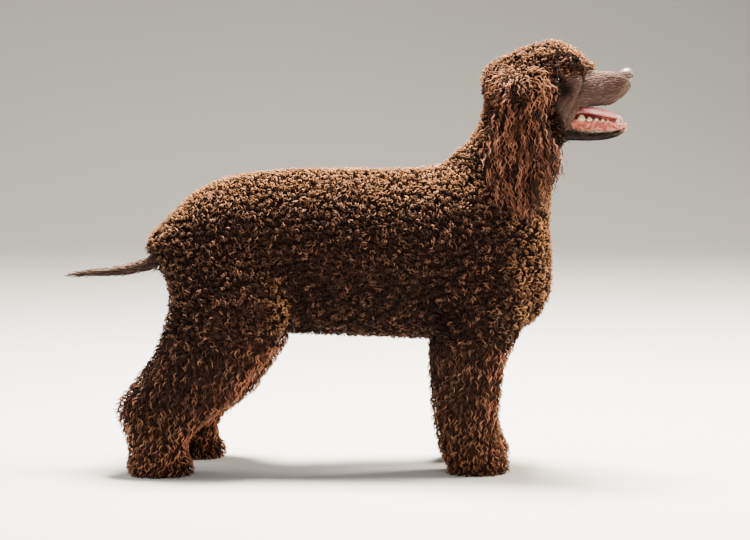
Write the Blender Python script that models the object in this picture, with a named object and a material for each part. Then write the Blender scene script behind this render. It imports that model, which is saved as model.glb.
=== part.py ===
"""A curly-coated liver-brown water spaniel standing square in show stance, life size.

Metres, +Z up. The dog faces +X, its right side is towards -Y, and it stands on Z = 0.
Every solid gives the outline out to the tips of the coat. The body and the head are each
modelled whole, by running lofts together, and then parted with thin cuts into named pieces.
"""

import math

import bmesh
import bpy
import numpy as np
from mathutils import Matrix, Vector

GAP = 0.0003  # clear space between neighbouring solids
SIDES = 28  # corners of a ring of flesh
SLIVER = 0.00005  # edges left shorter than this by a cut are closed up

for leftover in list(bpy.data.objects):
    bpy.data.objects.remove(leftover)


# ---------------------------------------------------------------- shared tools


def material(name, colour, roughness):
    made = bpy.data.materials.new(name)
    made.use_nodes = True
    shader = made.node_tree.nodes["Principled BSDF"]
    shader.inputs["Base Color"].default_value = (*colour, 1.0)
    shader.inputs["Roughness"].default_value = roughness
    return made


def rounded(stations, steps=4):
    """The stations with smooth ones between them: a Catmull-Rom curve through each column."""
    known = np.array(stations, float)
    padded = np.vstack([2 * known[0] - known[1], known, 2 * known[-1] - known[-2]])
    smooth = []
    for a, b, c, d in zip(padded, padded[1:], padded[2:], padded[3:]):
        for t in np.arange(steps) / steps:
            bend = (2 * a - 5 * b + 4 * c - d) * t**2 + (3 * b - a - 3 * c + d) * t**3
            smooth.append(b + 0.5 * ((c - a) * t + bend))
    return smooth + [known[-1]]


def ring(centre, across, up):
    """A matrix that carries the unit circle to an ellipse with these two half-axes."""
    across, up = Vector(across), Vector(up)
    placed = Matrix((across, up, across.cross(up).normalized())).transposed().to_4x4()
    placed.translation = centre
    return placed


def upright(x, low, high, half_width):
    """A ring across the body, for trunk, skull and muzzle."""
    return ring((x, 0, (low + high) / 2), (0, half_width, 0), (0, 0, (high - low) / 2))


def level(z, back, front, side, half_width):
    """A ring parallel to the floor, for neck and legs."""
    return ring(((back + front) / 2, side, z), (0, half_width, 0), ((front - back) / 2, 0, 0))


def loft(rings, sides=SIDES, square=2.0, pear=0.0):
    """A closed tube through the rings. Above 2, square makes them boxier; pear narrows their top."""
    bm = bmesh.new()
    end = bmesh.ops.create_circle(bm, segments=sides, radius=1.0)["verts"]
    for v in end:
        across, up = (math.copysign(abs(c) ** (2 / square), c) for c in v.co.xy)
        v.co = (across * (1 - pear * up), up, 0)
    bmesh.ops.transform(bm, matrix=rings[0], verts=end)
    edges = bm.edges[:]
    for before, after in zip(rings, rings[1:]):
        grown = bmesh.ops.extrude_edge_only(bm, edges=edges)["geom"]
        end = [g for g in grown if isinstance(g, bmesh.types.BMVert)]
        edges = [g for g in grown if isinstance(g, bmesh.types.BMEdge) and set(g.verts) <= set(end)]
        bmesh.ops.transform(bm, matrix=after @ before.inverted(), verts=end)
    bmesh.ops.holes_fill(bm, edges=[e for e in bm.edges if e.is_boundary])
    bmesh.ops.recalc_face_normals(bm, faces=bm.faces)
    return as_mesh(bm)


def as_mesh(bm):
    made = bpy.data.meshes.new("solid")
    bm.to_mesh(made)
    bm.free()
    return made


def joined(meshes):
    bm = bmesh.new()
    for mesh in meshes:
        bm.from_mesh(mesh)
    return as_mesh(bm)


def moved(mesh, matrix):
    made = mesh.copy()
    made.transform(matrix)
    return made


def through(mesh, *modifiers):
    """The mesh as these modifiers leave it. Each is a type and its settings."""
    holder = bpy.data.objects.new("holder", mesh)
    bpy.context.collection.objects.link(holder)
    for kind, settings in modifiers:
        modifier = holder.modifiers.new(kind, kind)
        for name, value in settings.items():
            setattr(modifier, name, value)
    graph = bpy.context.evaluated_depsgraph_get()
    made = bpy.data.meshes.new_from_object(holder.evaluated_get(graph))
    bpy.data.objects.remove(holder)
    return made


def run_together(meshes, voxel, passes):
    """The lofts as one closed skin, with soft hollows where they meet."""
    return through(
        joined(meshes),
        ("REMESH", {"mode": "VOXEL", "voxel_size": voxel}),
        ("SMOOTH", {"factor": 0.5, "iterations": passes}),
    )


def thinned(mesh, triangles):
    mesh.calc_loop_triangles()
    share = triangles / len(mesh.loop_triangles)
    return through(mesh, ("DECIMATE", {"ratio": share, "use_collapse_triangulate": True}))


def without_slivers(mesh):
    """The mesh with the shortest edges that a cut leaves closed up."""
    bm = bmesh.new()
    bm.from_mesh(mesh)
    bmesh.ops.dissolve_degenerate(bm, dist=SLIVER, edges=bm.edges)
    bmesh.ops.remove_doubles(bm, verts=bm.verts, dist=SLIVER)
    return as_mesh(bm)


def boolean(mesh, operation, tool):
    """The mesh cut by, joined to or kept within another."""
    cutter = bpy.data.objects.new("cutter", tool)
    bpy.context.collection.objects.link(cutter)
    cut = through(mesh, ("BOOLEAN", {"operation": operation, "object": cutter, "solver": "EXACT"}))
    bpy.data.objects.remove(cutter)
    return without_slivers(cut)


def grown(mesh, by=GAP):
    """The mesh with its surface moved out, so that what is cut with it keeps clear of it."""
    made = mesh.copy()
    normals = [v.normal.copy() for v in made.vertices]
    for v, normal in zip(made.vertices, normals):
        v.co += normal * by
    return made


def kept(mesh, *planes):
    """What lies in front of every plane, closed along each cut, as one body.

    A plane is a point on it and the direction that is kept.
    """
    bm = bmesh.new()
    bm.from_mesh(mesh)
    for point, inward in planes:
        inward = Vector(inward).normalized()
        geometry = bm.verts[:] + bm.edges[:] + bm.faces[:]
        start = Vector(point) + inward * GAP / 2
        bmesh.ops.bisect_plane(bm, geom=geometry, plane_co=start, plane_no=inward, clear_inner=True)
        bmesh.ops.remove_doubles(bm, verts=[v for v in bm.verts if v.is_boundary], dist=SLIVER)
        bmesh.ops.holes_fill(bm, edges=[e for e in bm.edges if e.is_boundary])
    islands, seen = [], set()
    for seed in bm.verts:
        if seed in seen:
            continue
        island, open_ends = set(), [seed]
        while open_ends:
            v = open_ends.pop()
            if v not in island:
                island.add(v)
                open_ends += [e.other_vert(v) for e in v.link_edges]
        seen |= island
        islands.append(island)
    largest = max(islands, key=len)
    bmesh.ops.delete(bm, geom=[v for v in bm.verts if v not in largest], context="VERTS")
    return as_mesh(bm)


def node(name, mesh, finish):
    obj = bpy.data.objects.new(name, mesh)
    bpy.context.collection.objects.link(obj)
    mesh.materials.clear()
    mesh.materials.append(finish)
    mesh.shade_smooth()
    mesh.set_sharp_from_angle(angle=math.radians(50))
    return obj


CURLS = material("curly_coat", (0.085, 0.040, 0.028), 0.75)
SMOOTH_HAIR = material("smooth_hair", (0.125, 0.075, 0.058), 0.6)
NOSE_LEATHER = material("nose_leather", (0.090, 0.050, 0.045), 0.35)
EYE_GLASS = material("eye", (0.070, 0.030, 0.012), 0.08)
MOUTH_FLESH = material("mouth_flesh", (0.600, 0.200, 0.190), 0.35)
ENAMEL = material("enamel", (0.780, 0.700, 0.560), 0.25)


# ---------------------------------------------------------------- trunk, neck and legs

# x, underside, topline, half-width: from the rump over the tail to the breastbone
TRUNK = (
    (-0.380, 0.408, 0.432, 0.026),
    (-0.366, 0.397, 0.449, 0.050),
    (-0.350, 0.374, 0.464, 0.070),
    (-0.336, 0.322, 0.478, 0.085),
    (-0.316, 0.294, 0.497, 0.096),
    (-0.280, 0.269, 0.527, 0.107),
    (-0.220, 0.250, 0.551, 0.112),
    (-0.130, 0.249, 0.563, 0.110),
    (-0.040, 0.247, 0.566, 0.114),
    (0.060, 0.243, 0.565, 0.126),
    (0.150, 0.240, 0.568, 0.132),
    (0.230, 0.240, 0.584, 0.128),
    (0.300, 0.243, 0.566, 0.114),
    (0.354, 0.275, 0.500, 0.091),
    (0.383, 0.322, 0.444, 0.056),
)
# z, nape, throat, sideways place, half-width: from the breast up into the head
NECK = (
    (0.384, 0.185, 0.376, 0, 0.100),
    (0.444, 0.168, 0.381, 0, 0.102),
    (0.504, 0.158, 0.385, 0, 0.092),
    (0.554, 0.166, 0.388, 0, 0.080),
    (0.589, 0.190, 0.402, 0, 0.072),
    (0.620, 0.226, 0.404, 0, 0.068),
    (0.660, 0.246, 0.394, 0, 0.067),
    (0.699, 0.254, 0.386, 0, 0.064),
)
# z, back edge, front edge, sideways place, half-width: from under the floor up into the shoulder
FORELEG = (
    (-0.030, 0.200, 0.284, 0.080, 0.036),
    (0.000, 0.187, 0.296, 0.080, 0.046),
    (0.022, 0.178, 0.302, 0.080, 0.051),
    (0.050, 0.167, 0.290, 0.079, 0.049),
    (0.090, 0.157, 0.283, 0.078, 0.048),
    (0.140, 0.151, 0.287, 0.077, 0.050),
    (0.200, 0.148, 0.296, 0.077, 0.055),
    (0.240, 0.148, 0.313, 0.078, 0.058),
    (0.290, 0.155, 0.332, 0.079, 0.060),
    (0.365, 0.175, 0.340, 0.078, 0.056),
    (0.445, 0.195, 0.325, 0.070, 0.045),
)
# the same for a hind leg: foot, rear pastern, hock point, second thigh, stifle and thigh
HIND_LEG = (
    (-0.030, -0.388, -0.300, 0.100, 0.036),
    (0.000, -0.402, -0.291, 0.100, 0.046),
    (0.020, -0.410, -0.283, 0.100, 0.051),
    (0.048, -0.407, -0.294, 0.100, 0.049),
    (0.078, -0.415, -0.280, 0.099, 0.050),
    (0.106, -0.426, -0.243, 0.098, 0.052),
    (0.136, -0.427, -0.204, 0.096, 0.054),
    (0.170, -0.401, -0.178, 0.093, 0.058),
    (0.215, -0.368, -0.141, 0.090, 0.062),
    (0.260, -0.348, -0.117, 0.087, 0.064),
    (0.310, -0.335, -0.103, 0.082, 0.063),
    (0.365, -0.333, -0.112, 0.074, 0.058),
    (0.425, -0.328, -0.145, 0.062, 0.048),
)
RIGHT, LEFT = -1, 1
# how far forward each foot stands of the pose in the tables; the hip and shoulder stay put
STEP = {("fore", RIGHT): 0.0, ("fore", LEFT): 0.010, ("hind", RIGHT): 0.0, ("hind", LEFT): 0.050}
HIP_HEIGHT = 0.365


def leg(kind, side):
    """A leg as a loft, with its foot stepped forward and the shift fading out towards the hip."""
    rings = []
    for z, back, front, place, half in rounded(FORELEG if kind == "fore" else HIND_LEG):
        step = STEP[kind, side] * (1 - min(max(z, 0), HIP_HEIGHT) / HIP_HEIGHT)
        rings.append(level(z, back + step, front + step, side * place, half))
    return loft(rings, square=2.3)


trunk_loft = loft([upright(*s) for s in rounded(TRUNK)], square=2.15)
neck_loft = loft([level(*s) for s in rounded(NECK)])

# ---------------------------------------------------------------- head, in its own frame

# x, underside, top, half-width: curls of the skull and the topknot, to its peak over the stop
TOPKNOT = (
    (0.247, 0.712, 0.740, 0.026),
    (0.258, 0.676, 0.756, 0.054),
    (0.280, 0.646, 0.770, 0.070),
    (0.312, 0.630, 0.785, 0.078),
    (0.345, 0.632, 0.799, 0.079),
    (0.370, 0.654, 0.804, 0.074),
    (0.388, 0.698, 0.804, 0.067),
    (0.405, 0.733, 0.799, 0.058),
    (0.424, 0.742, 0.789, 0.047),
    (0.443, 0.744, 0.774, 0.034),
    (0.456, 0.745, 0.759, 0.018),
)
# skull, cheeks and angle of the jaw, under smooth hair
FACE = (
    (0.315, 0.634, 0.754, 0.046),
    (0.340, 0.624, 0.764, 0.056),
    (0.365, 0.618, 0.768, 0.059),
    (0.388, 0.616, 0.766, 0.053),
    (0.408, 0.624, 0.758, 0.047),
    (0.424, 0.646, 0.750, 0.041),
    (0.436, 0.674, 0.746, 0.036),
)
# upper jaw with its lips
MUZZLE = (
    (0.400, 0.656, 0.738, 0.0460),
    (0.420, 0.667, 0.741, 0.0420),
    (0.436, 0.6715, 0.7430, 0.0390),
    (0.455, 0.6740, 0.7450, 0.0355),
    (0.475, 0.6735, 0.7470, 0.0330),
    (0.490, 0.6765, 0.7485, 0.0315),
    (0.503, 0.6870, 0.7490, 0.0295),
    (0.514, 0.6985, 0.7485, 0.0260),
    (0.522, 0.7090, 0.7450, 0.0210),
    (0.5275, 0.7175, 0.7375, 0.0130),
)
LOWER_JAW = (
    (0.380, 0.6140, 0.644, 0.044),
    (0.405, 0.6145, 0.644, 0.041),
    (0.430, 0.6150, 0.637, 0.035),
    (0.455, 0.615, 0.633, 0.0305),
    (0.480, 0.617, 0.635, 0.0270),
    (0.500, 0.6225, 0.637, 0.0240),
    (0.515, 0.6315, 0.641, 0.0195),
    (0.5235, 0.6385, 0.6445, 0.0110),
)
# the hollow of the open mouth, between the palate and the floor of the jaw
MOUTH = (
    (0.388, 0.639, 0.664, 0.012),
    (0.402, 0.632, 0.674, 0.018),
    (0.425, 0.6265, 0.684, 0.0235),
    (0.460, 0.6245, 0.692, 0.0245),
    (0.490, 0.6270, 0.696, 0.0215),
    (0.510, 0.6350, 0.700, 0.0155),
    (0.5175, 0.6440, 0.696, 0.0060),
)
TONGUE = (
    (0.404, 0.644, 0.664, 0.0120),
    (0.430, 0.647, 0.671, 0.0145),
    (0.455, 0.650, 0.671, 0.0145),
    (0.475, 0.6500, 0.6680, 0.0135),
    (0.490, 0.6490, 0.6635, 0.0115),
    (0.500, 0.6480, 0.6590, 0.0085),
    (0.505, 0.6485, 0.6555, 0.0040),
)
NOSE = (
    (0.506, 0.7260, 0.7450, 0.0150),
    (0.514, 0.7240, 0.7490, 0.0180),
    (0.522, 0.7240, 0.7500, 0.0182),
    (0.528, 0.7265, 0.7480, 0.0155),
    (0.5315, 0.7320, 0.7430, 0.0090),
)
NOSTRIL = Vector((0.5315, 0.0088, 0.7360))
NOSTRIL_SIZE = Vector((0.0075, 0.0032, 0.0036))
EYE = Vector((0.3890, 0.0365, 0.7270))
EYE_RADIUS = 0.0112
# z, back edge, front edge, sideways place, half-thickness of the leather with its long hair
EAR = (
    (0.748, 0.302, 0.344, 0.0690, 0.0050),
    (0.730, 0.286, 0.362, 0.0780, 0.0120),
    (0.690, 0.268, 0.377, 0.0860, 0.0170),
    (0.640, 0.257, 0.392, 0.0915, 0.0200),
    (0.595, 0.251, 0.411, 0.0940, 0.0215),
    (0.562, 0.253, 0.404, 0.0945, 0.0220),
    (0.530, 0.264, 0.383, 0.0940, 0.0205),
    (0.503, 0.292, 0.371, 0.0930, 0.0160),
    (0.487, 0.322, 0.356, 0.0925, 0.0070),
)
EAR_TOE_IN = math.radians(7)  # the front edge of the ear lies closer to the cheek
HEAD_PIVOT = Vector((0.310, 0.0, 0.644))
HEAD_TURN = math.radians(-6)  # a little towards the dog's right
TURN = (
    Matrix.Translation(HEAD_PIVOT)
    @ Matrix.Rotation(HEAD_TURN, 4, "Z")
    @ Matrix.Translation(-HEAD_PIVOT)
)
# thin cuts: a point and the side that the piece named first keeps
UPPER_NECK_CUT = (Vector((0.330, 0, 0.627)), Vector((0.35, 0, 0.94)))
MUZZLE_CUT = (Vector((0.4360, 0, 0.684)), Vector((0.958, 0, -0.285)))
MOUTH_LINE = (Vector((0.4210, 0, 0.652)), Vector((-0.22, 0, 0.97)))


def other_side(plane):
    return plane[0], -plane[1]


def turned(plane):
    return TURN @ plane[0], TURN.to_3x3() @ plane[1]


topknot_loft = loft([upright(*s) for s in rounded(TOPKNOT)])
face_loft = loft([upright(*s) for s in rounded(FACE)], pear=0.2)
HEAD_VOXEL, HEAD_PASSES, HEAD_TRIANGLES = 0.0028, 4, 1450
head_whole = run_together(
    [
        topknot_loft,
        face_loft,
        neck_loft,
        loft([upright(*s) for s in rounded(MUZZLE)], square=2.5, pear=0.16),
        loft([upright(*s) for s in rounded(LOWER_JAW)], square=2.4, pear=-0.10),
    ],
    HEAD_VOXEL,
    HEAD_PASSES,
)
margin = 0.012  # left beyond the last cuts, because thinning disturbs a cut edge
head_whole = kept(head_whole, (UPPER_NECK_CUT[0] - UPPER_NECK_CUT[1] * margin, UPPER_NECK_CUT[1]))
mouth_hollow = loft([upright(*s) for s in rounded(MOUTH)], sides=20, square=2.4)
head_whole = boolean(head_whole, "DIFFERENCE", mouth_hollow)
head_whole = thinned(head_whole, HEAD_TRIANGLES)

nose = loft([upright(*s) for s in rounded(NOSE, 2)], sides=12, square=2.2, pear=0.10)
for side in (RIGHT, LEFT):
    bm = bmesh.new()
    place = Matrix.Translation(NOSTRIL * Vector((1, side, 1)))
    size = Matrix.Diagonal((*NOSTRIL_SIZE, 1))
    outward = Matrix.Rotation(side * math.radians(28), 4, "Z")
    bmesh.ops.create_uvsphere(bm, u_segments=10, v_segments=6, radius=1, matrix=place @ outward @ size)
    nose = boolean(nose, "DIFFERENCE", as_mesh(bm))

head_piece = kept(head_whole, UPPER_NECK_CUT, other_side(MUZZLE_CUT))
eyes = {}
for side, word in ((RIGHT, "right"), (LEFT, "left")):
    bm = bmesh.new()
    place = Matrix.Translation(EYE * Vector((1, side, 1)))
    bmesh.ops.create_uvsphere(bm, u_segments=12, v_segments=8, radius=EYE_RADIUS, matrix=place)
    eyes[word] = as_mesh(bm)
    socket_bm = bmesh.new()
    socket_radius = EYE_RADIUS + 2 * GAP
    bmesh.ops.create_uvsphere(
        socket_bm, u_segments=12, v_segments=8, radius=socket_radius, matrix=place
    )
    head_piece = boolean(head_piece, "DIFFERENCE", as_mesh(socket_bm))

muzzle_piece = kept(boolean(head_whole, "DIFFERENCE", grown(nose)), MUZZLE_CUT, MOUTH_LINE)
jaw_piece = kept(head_whole, MUZZLE_CUT, other_side(MOUTH_LINE))

node("head", moved(head_piece, TURN), CURLS)
node("muzzle", moved(muzzle_piece, TURN), SMOOTH_HAIR)
node("lower_jaw", moved(jaw_piece, TURN), SMOOTH_HAIR)
node("nose", moved(nose, TURN), NOSE_LEATHER)
for word, mesh in eyes.items():
    node(f"eye_{word}", moved(mesh, TURN), EYE_GLASS)


# ---------------------------------------------------------------- teeth in their gums

# x and half-width of the arch of the lower gum, from the last molar to the front
ARCH = ((0.412, 0.0220), (0.440, 0.0228), (0.465, 0.0215), (0.490, 0.0180), (0.508, 0.0125), (0.516, 0.0))
GUM_HEIGHT, GUM_WIDTH = 0.0180, 0.0046
LOWER_GUM_TOP = 0.6510
# place along half of the arch, from 0 at the back to 1 at the front, height and thickness
TEETH = (
    (0.12, 0.0080, 0.0040),
    (0.26, 0.0095, 0.0048),
    (0.40, 0.0075, 0.0036),
    (0.51, 0.0060, 0.0030),
    (0.61, 0.0050, 0.0025),
    (0.77, 0.0110, 0.0034),
    (0.87, 0.0050, 0.0022),
    (0.93, 0.0048, 0.0020),
    (0.98, 0.0045, 0.0019),
)


def arch_path():
    """Points of the whole arch, left to right, and the direction across it at each."""
    half = rounded(ARCH, 5)
    points = [Vector((x, y, 0)) for x, y in half]
    points += [Vector((x, -y, 0)) for x, y in reversed(half[:-1])]
    return points


def teeth_in_gum(gum_top, up, triangles):
    """A gum with its teeth, which point up or down. The teeth and the gum are one body."""
    points = arch_path()
    rings = []
    for before, here, after in zip(points[:1] + points, points, points[1:] + points[-1:]):
        across = (after - before).normalized().cross(Vector((0, 0, 1)))
        centre = here + Vector((0, 0, gum_top - up * GUM_HEIGHT / 2))
        rings.append(ring(centre, across * GUM_WIDTH / 2, (0, 0, GUM_HEIGHT / 2)))
    pieces = [loft(rings, sides=10, square=2.6)]
    half = rounded(ARCH, 5)
    for along, height, thick in TEETH:
        x, y = half[round(along * (len(half) - 1))]
        for side in (RIGHT, LEFT):
            bm = bmesh.new()
            root = Matrix.Translation((x, side * y, gum_top + up * (height / 2 - 0.002)))
            bmesh.ops.create_cone(
                bm,
                cap_ends=True,
                segments=8,
                radius1=thick,
                radius2=thick * 0.30,
                depth=height + 0.004,
                matrix=root @ Matrix.Diagonal((1, 0.8, up, 1)),
            )
            bmesh.ops.recalc_face_normals(bm, faces=bm.faces)
            pieces.append(as_mesh(bm))
    whole = through(joined(pieces), ("REMESH", {"mode": "VOXEL", "voxel_size": 0.0007}))
    return thinned(whole, triangles)


lower_teeth = teeth_in_gum(LOWER_GUM_TOP, 1, 340)
lower_teeth = boolean(lower_teeth, "DIFFERENCE", grown(head_whole))
node("lower_teeth", moved(lower_teeth, TURN), ENAMEL)

tongue = loft([upright(*s) for s in rounded(TONGUE, 2)], sides=10)
tongue = boolean(tongue, "DIFFERENCE", grown(head_whole))
node("tongue", moved(tongue, TURN), MOUTH_FLESH)


# ---------------------------------------------------------------- body, parted into pieces

BODY_VOXEL, BODY_PASSES, BODY_TRIANGLES = 0.0055, 9, 2150
body_whole = run_together(
    [
        trunk_loft,
        neck_loft,
        moved(topknot_loft, TURN),
        moved(face_loft, TURN),
        leg("fore", RIGHT),
        leg("fore", LEFT),
        leg("hind", RIGHT),
        leg("hind", LEFT),
    ],
    BODY_VOXEL,
    BODY_PASSES,
)
head_side = turned(UPPER_NECK_CUT)
body_whole = kept(body_whole, (head_side[0] + head_side[1] * margin, -head_side[1]))
body_whole = thinned(body_whole, BODY_TRIANGLES)

FLOOR = (Vector((0, 0, -GAP / 2)), Vector((0, 0, 1)))
LOWER_NECK_CUT = (Vector((0.262, 0, 0.512)), Vector((0.52, 0, 0.854)))
ELBOW_CUT = (Vector((0.230, 0, 0.236)), Vector((0, 0, -1)))
WRIST_CUT = (Vector((0.230, 0, 0.072)), Vector((0, 0, -1)))
THIGH_CUT = (Vector((-0.230, 0, 0.310)), Vector((-0.39, 0, -0.92)))
STIFLE_CUT = (Vector((-0.280, 0, 0.196)), Vector((-0.30, 0, -0.95)))
HOCK_CUT = (Vector((-0.350, 0, 0.066)), Vector((0, 0, -1)))
FORE_HALF = (Vector((0, 0, 0)), Vector((1, 0, 0)))

node("neck", kept(body_whole, other_side(head_side), LOWER_NECK_CUT), CURLS)
trunk = kept(body_whole, other_side(LOWER_NECK_CUT), other_side(THIGH_CUT))
for word, side in (("right", RIGHT), ("left", LEFT)):
    half = (Vector((0, 0, 0)), Vector((0, side, 0)))
    fore = (FLOOR, FORE_HALF, half)
    hind = (FLOOR, other_side(FORE_HALF), half)
    node(f"foreleg_{word}", kept(body_whole, *fore, ELBOW_CUT, other_side(WRIST_CUT)), CURLS)
    node(f"forefoot_{word}", kept(body_whole, *fore, WRIST_CUT), CURLS)
    node(f"thigh_{word}", kept(body_whole, *hind, THIGH_CUT, other_side(STIFLE_CUT)), CURLS)
    node(f"hindleg_{word}", kept(body_whole, *hind, STIFLE_CUT, other_side(HOCK_CUT)), CURLS)
    node(f"hindfoot_{word}", kept(body_whole, *hind, HOCK_CUT), CURLS)


# ---------------------------------------------------------------- tail

# x, underside, top, half-width: bare from root to tip
TAIL = (
    (-0.338, 0.3745, 0.4030, 0.0140),
    (-0.366, 0.3715, 0.3975, 0.0130),
    (-0.390, 0.3670, 0.3910, 0.0118),
    (-0.415, 0.3618, 0.3828, 0.0104),
    (-0.446, 0.3600, 0.3765, 0.0084),
    (-0.478, 0.3595, 0.3740, 0.0070),
    (-0.507, 0.3575, 0.3695, 0.0056),
    (-0.525, 0.3580, 0.3665, 0.0038),
    (-0.5315, 0.3600, 0.3640, 0.0018),
)
tail = loft([upright(*s) for s in rounded(TAIL, 2)], sides=12)
node("tail", tail, SMOOTH_HAIR)

# the trunk ends above the legs, and has a socket for the tail
ABOVE_ELBOWS = other_side(ELBOW_CUT)
trunk = kept(trunk, ABOVE_ELBOWS)
node("trunk", boolean(trunk, "DIFFERENCE", grown(tail)), CURLS)


# ---------------------------------------------------------------- ears

for word, side in (("right", RIGHT), ("left", LEFT)):
    rings = []
    for z, back, front, place, half in rounded(EAR, 2):
        centre = Vector(((back + front) / 2, side * place, z))
        lie = Matrix.Rotation(-side * EAR_TOE_IN, 3, "Z")
        rings.append(ring(centre, lie @ Vector((0, half, 0)), lie @ Vector(((front - back) / 2, 0, 0))))
    ear = moved(loft(rings, sides=12, square=2.2), TURN)
    for other in ("head", "neck", "trunk"):
        ear = boolean(ear, "DIFFERENCE", grown(bpy.data.objects[other].data))
    node(f"ear_{word}", ear, CURLS)


# ---------------------------------------------------------------- origin under the middle of the dog

nodes = [o for o in bpy.data.objects if o.type == "MESH"]
corners = np.array([v.co for o in nodes for v in o.data.vertices])
middle = (corners.min(axis=0) + corners.max(axis=0)) / 2
to_origin = Matrix.Translation((-middle[0], -middle[1], 0))
for obj in nodes:
    obj.data.transform(to_origin)
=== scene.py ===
import math

import bmesh
import bpy
import numpy as np
from mathutils import Matrix, Vector
from mathutils.bvhtree import BVHTree
from mathutils.kdtree import KDTree
from mathutils.geometry import barycentric_transform


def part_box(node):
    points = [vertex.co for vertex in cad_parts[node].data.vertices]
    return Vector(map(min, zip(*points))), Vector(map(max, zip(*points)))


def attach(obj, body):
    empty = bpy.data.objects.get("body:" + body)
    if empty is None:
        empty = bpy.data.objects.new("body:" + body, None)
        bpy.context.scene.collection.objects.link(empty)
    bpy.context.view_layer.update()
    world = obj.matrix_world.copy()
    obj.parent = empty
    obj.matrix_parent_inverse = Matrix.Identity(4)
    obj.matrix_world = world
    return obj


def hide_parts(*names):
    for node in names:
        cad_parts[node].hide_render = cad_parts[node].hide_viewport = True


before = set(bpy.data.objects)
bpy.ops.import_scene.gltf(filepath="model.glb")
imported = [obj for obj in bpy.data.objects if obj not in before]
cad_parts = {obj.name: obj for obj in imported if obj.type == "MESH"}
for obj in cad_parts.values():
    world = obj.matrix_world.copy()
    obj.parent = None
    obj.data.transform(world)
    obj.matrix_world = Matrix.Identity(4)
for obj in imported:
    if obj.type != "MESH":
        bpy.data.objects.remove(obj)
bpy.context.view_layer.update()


# ------------------------------------------------------------------ the studio
# A plain pale floor that curves up into a backdrop. Soft windows stand above the dog, before
# it, behind it and at its side, and the walls of the room fill in the shadows.

FLOOR_HALF_WIDTH = 14.0
WALL_START, WALL_RADIUS, WALL_HEIGHT, BENDS = 5.0, 3.0, 9.0, 12


def finished(bm, name):
    """A bmesh made into a mesh, after which the bmesh is gone."""
    mesh = bpy.data.meshes.new(name)
    bm.to_mesh(mesh)
    bm.free()
    return mesh


def new_object(name, data):
    """An object for this mesh, lamp or camera, linked to the scene."""
    made = bpy.data.objects.new(name, data)
    bpy.context.scene.collection.objects.link(made)
    return made


sheet = bmesh.new()
front = [sheet.verts.new((x, -FLOOR_HALF_WIDTH, 0)) for x in (-FLOOR_HALF_WIDTH, FLOOR_HALF_WIDTH)]
edges = [sheet.edges.new(front)]
strip = [(0, WALL_START + FLOOR_HALF_WIDTH, 0)]
for k in range(BENDS):
    before, after = (math.pi / 2 * j / BENDS for j in (k, k + 1))
    rise = WALL_RADIUS * (math.cos(before) - math.cos(after))
    strip.append((0, WALL_RADIUS * (math.sin(after) - math.sin(before)), rise))
strip.append((0, 0, WALL_HEIGHT))
for step in strip:
    grown = bmesh.ops.extrude_edge_only(sheet, edges=edges)["geom"]
    edges = [g for g in grown if isinstance(g, bmesh.types.BMEdge) and g.is_boundary]
    ends = [g for g in grown if isinstance(g, bmesh.types.BMVert)]
    edges = [e for e in edges if set(e.verts) == set(ends)]
    bmesh.ops.translate(sheet, verts=ends, vec=step)
bmesh.ops.recalc_face_normals(sheet, faces=sheet.faces)
floor = new_object("studio_floor", finished(sheet, "studio_floor"))
floor.data.shade_smooth()


class Socket:
    """A shader socket in an expression: +, - and * on values add Math nodes."""

    def __init__(self, tree, link):
        self.tree, self.link = tree, link

    def maths(self, operation, *values):
        inputs = dict(enumerate(values))
        return node(self.tree, "ShaderNodeMath", {"operation": operation}, inputs)["Value"]

    def __add__(self, other):
        return self.maths("ADD", self, other)

    def __sub__(self, other):
        return self.maths("SUBTRACT", self, other)

    def __rsub__(self, other):
        return self.maths("SUBTRACT", other, self)

    def __mul__(self, other):
        return self.maths("MULTIPLY", self, other)

    __radd__, __rmul__ = __add__, __mul__

    def between(self, low, high):
        """0 below low, 1 above high, and a smooth ramp between them."""
        settings = {"interpolation_type": "SMOOTHSTEP"}
        inputs = {"Value": self, "From Min": low, "From Max": high}
        return node(self.tree, "ShaderNodeMapRange", settings, inputs)["Result"]


def node(tree, kind, settings=None, inputs=None):
    """Adds a node, sets it, joins or fills its inputs, and gives its outputs by name."""
    made = tree.nodes.new(kind)
    for name, value in (settings or {}).items():
        setattr(made, name, value)
    for name, value in (inputs or {}).items():
        if isinstance(value, Socket):
            tree.links.new(value.link, made.inputs[name])
        else:
            made.inputs[name].default_value = value
    return {out.name: Socket(tree, out) for out in reversed(made.outputs)}


def mixed(factor, first, second):
    """A colour between two, either of which is a socket or three numbers."""
    tree = factor.tree
    made = tree.nodes.new("ShaderNodeMix")
    made.data_type = "RGBA"
    sockets = [s for s in made.inputs if s.type == "RGBA"]
    tree.links.new(factor.link, made.inputs["Factor"])
    for socket, value in zip(sockets, (first, second)):
        if isinstance(value, Socket):
            tree.links.new(value.link, socket)
        else:
            socket.default_value = (*value, 1.0)
    return Socket(tree, next(s for s in made.outputs if s.type == "RGBA"))


def new_material(name, roughness, specular=0.5, coat=0.0, coat_roughness=0.03, sheen=0.0):
    """A Principled material. Gives the material, its node tree and its shader node."""
    made = bpy.data.materials.new(name)
    made.use_nodes = True
    shader = made.node_tree.nodes["Principled BSDF"]
    shader.inputs["Roughness"].default_value = roughness
    shader.inputs["Specular IOR Level"].default_value = specular
    shader.inputs["Coat Weight"].default_value = coat
    shader.inputs["Coat Roughness"].default_value = coat_roughness
    shader.inputs["Sheen Weight"].default_value = sheen
    return made, made.node_tree, shader


def feed(shader, **links):
    """Joins sockets to the shader's inputs: base_color becomes Base Color."""
    for name, value in links.items():
        title = name.replace("_", " ").title()
        shader.id_data.links.new(value.link, shader.inputs[title])


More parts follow.
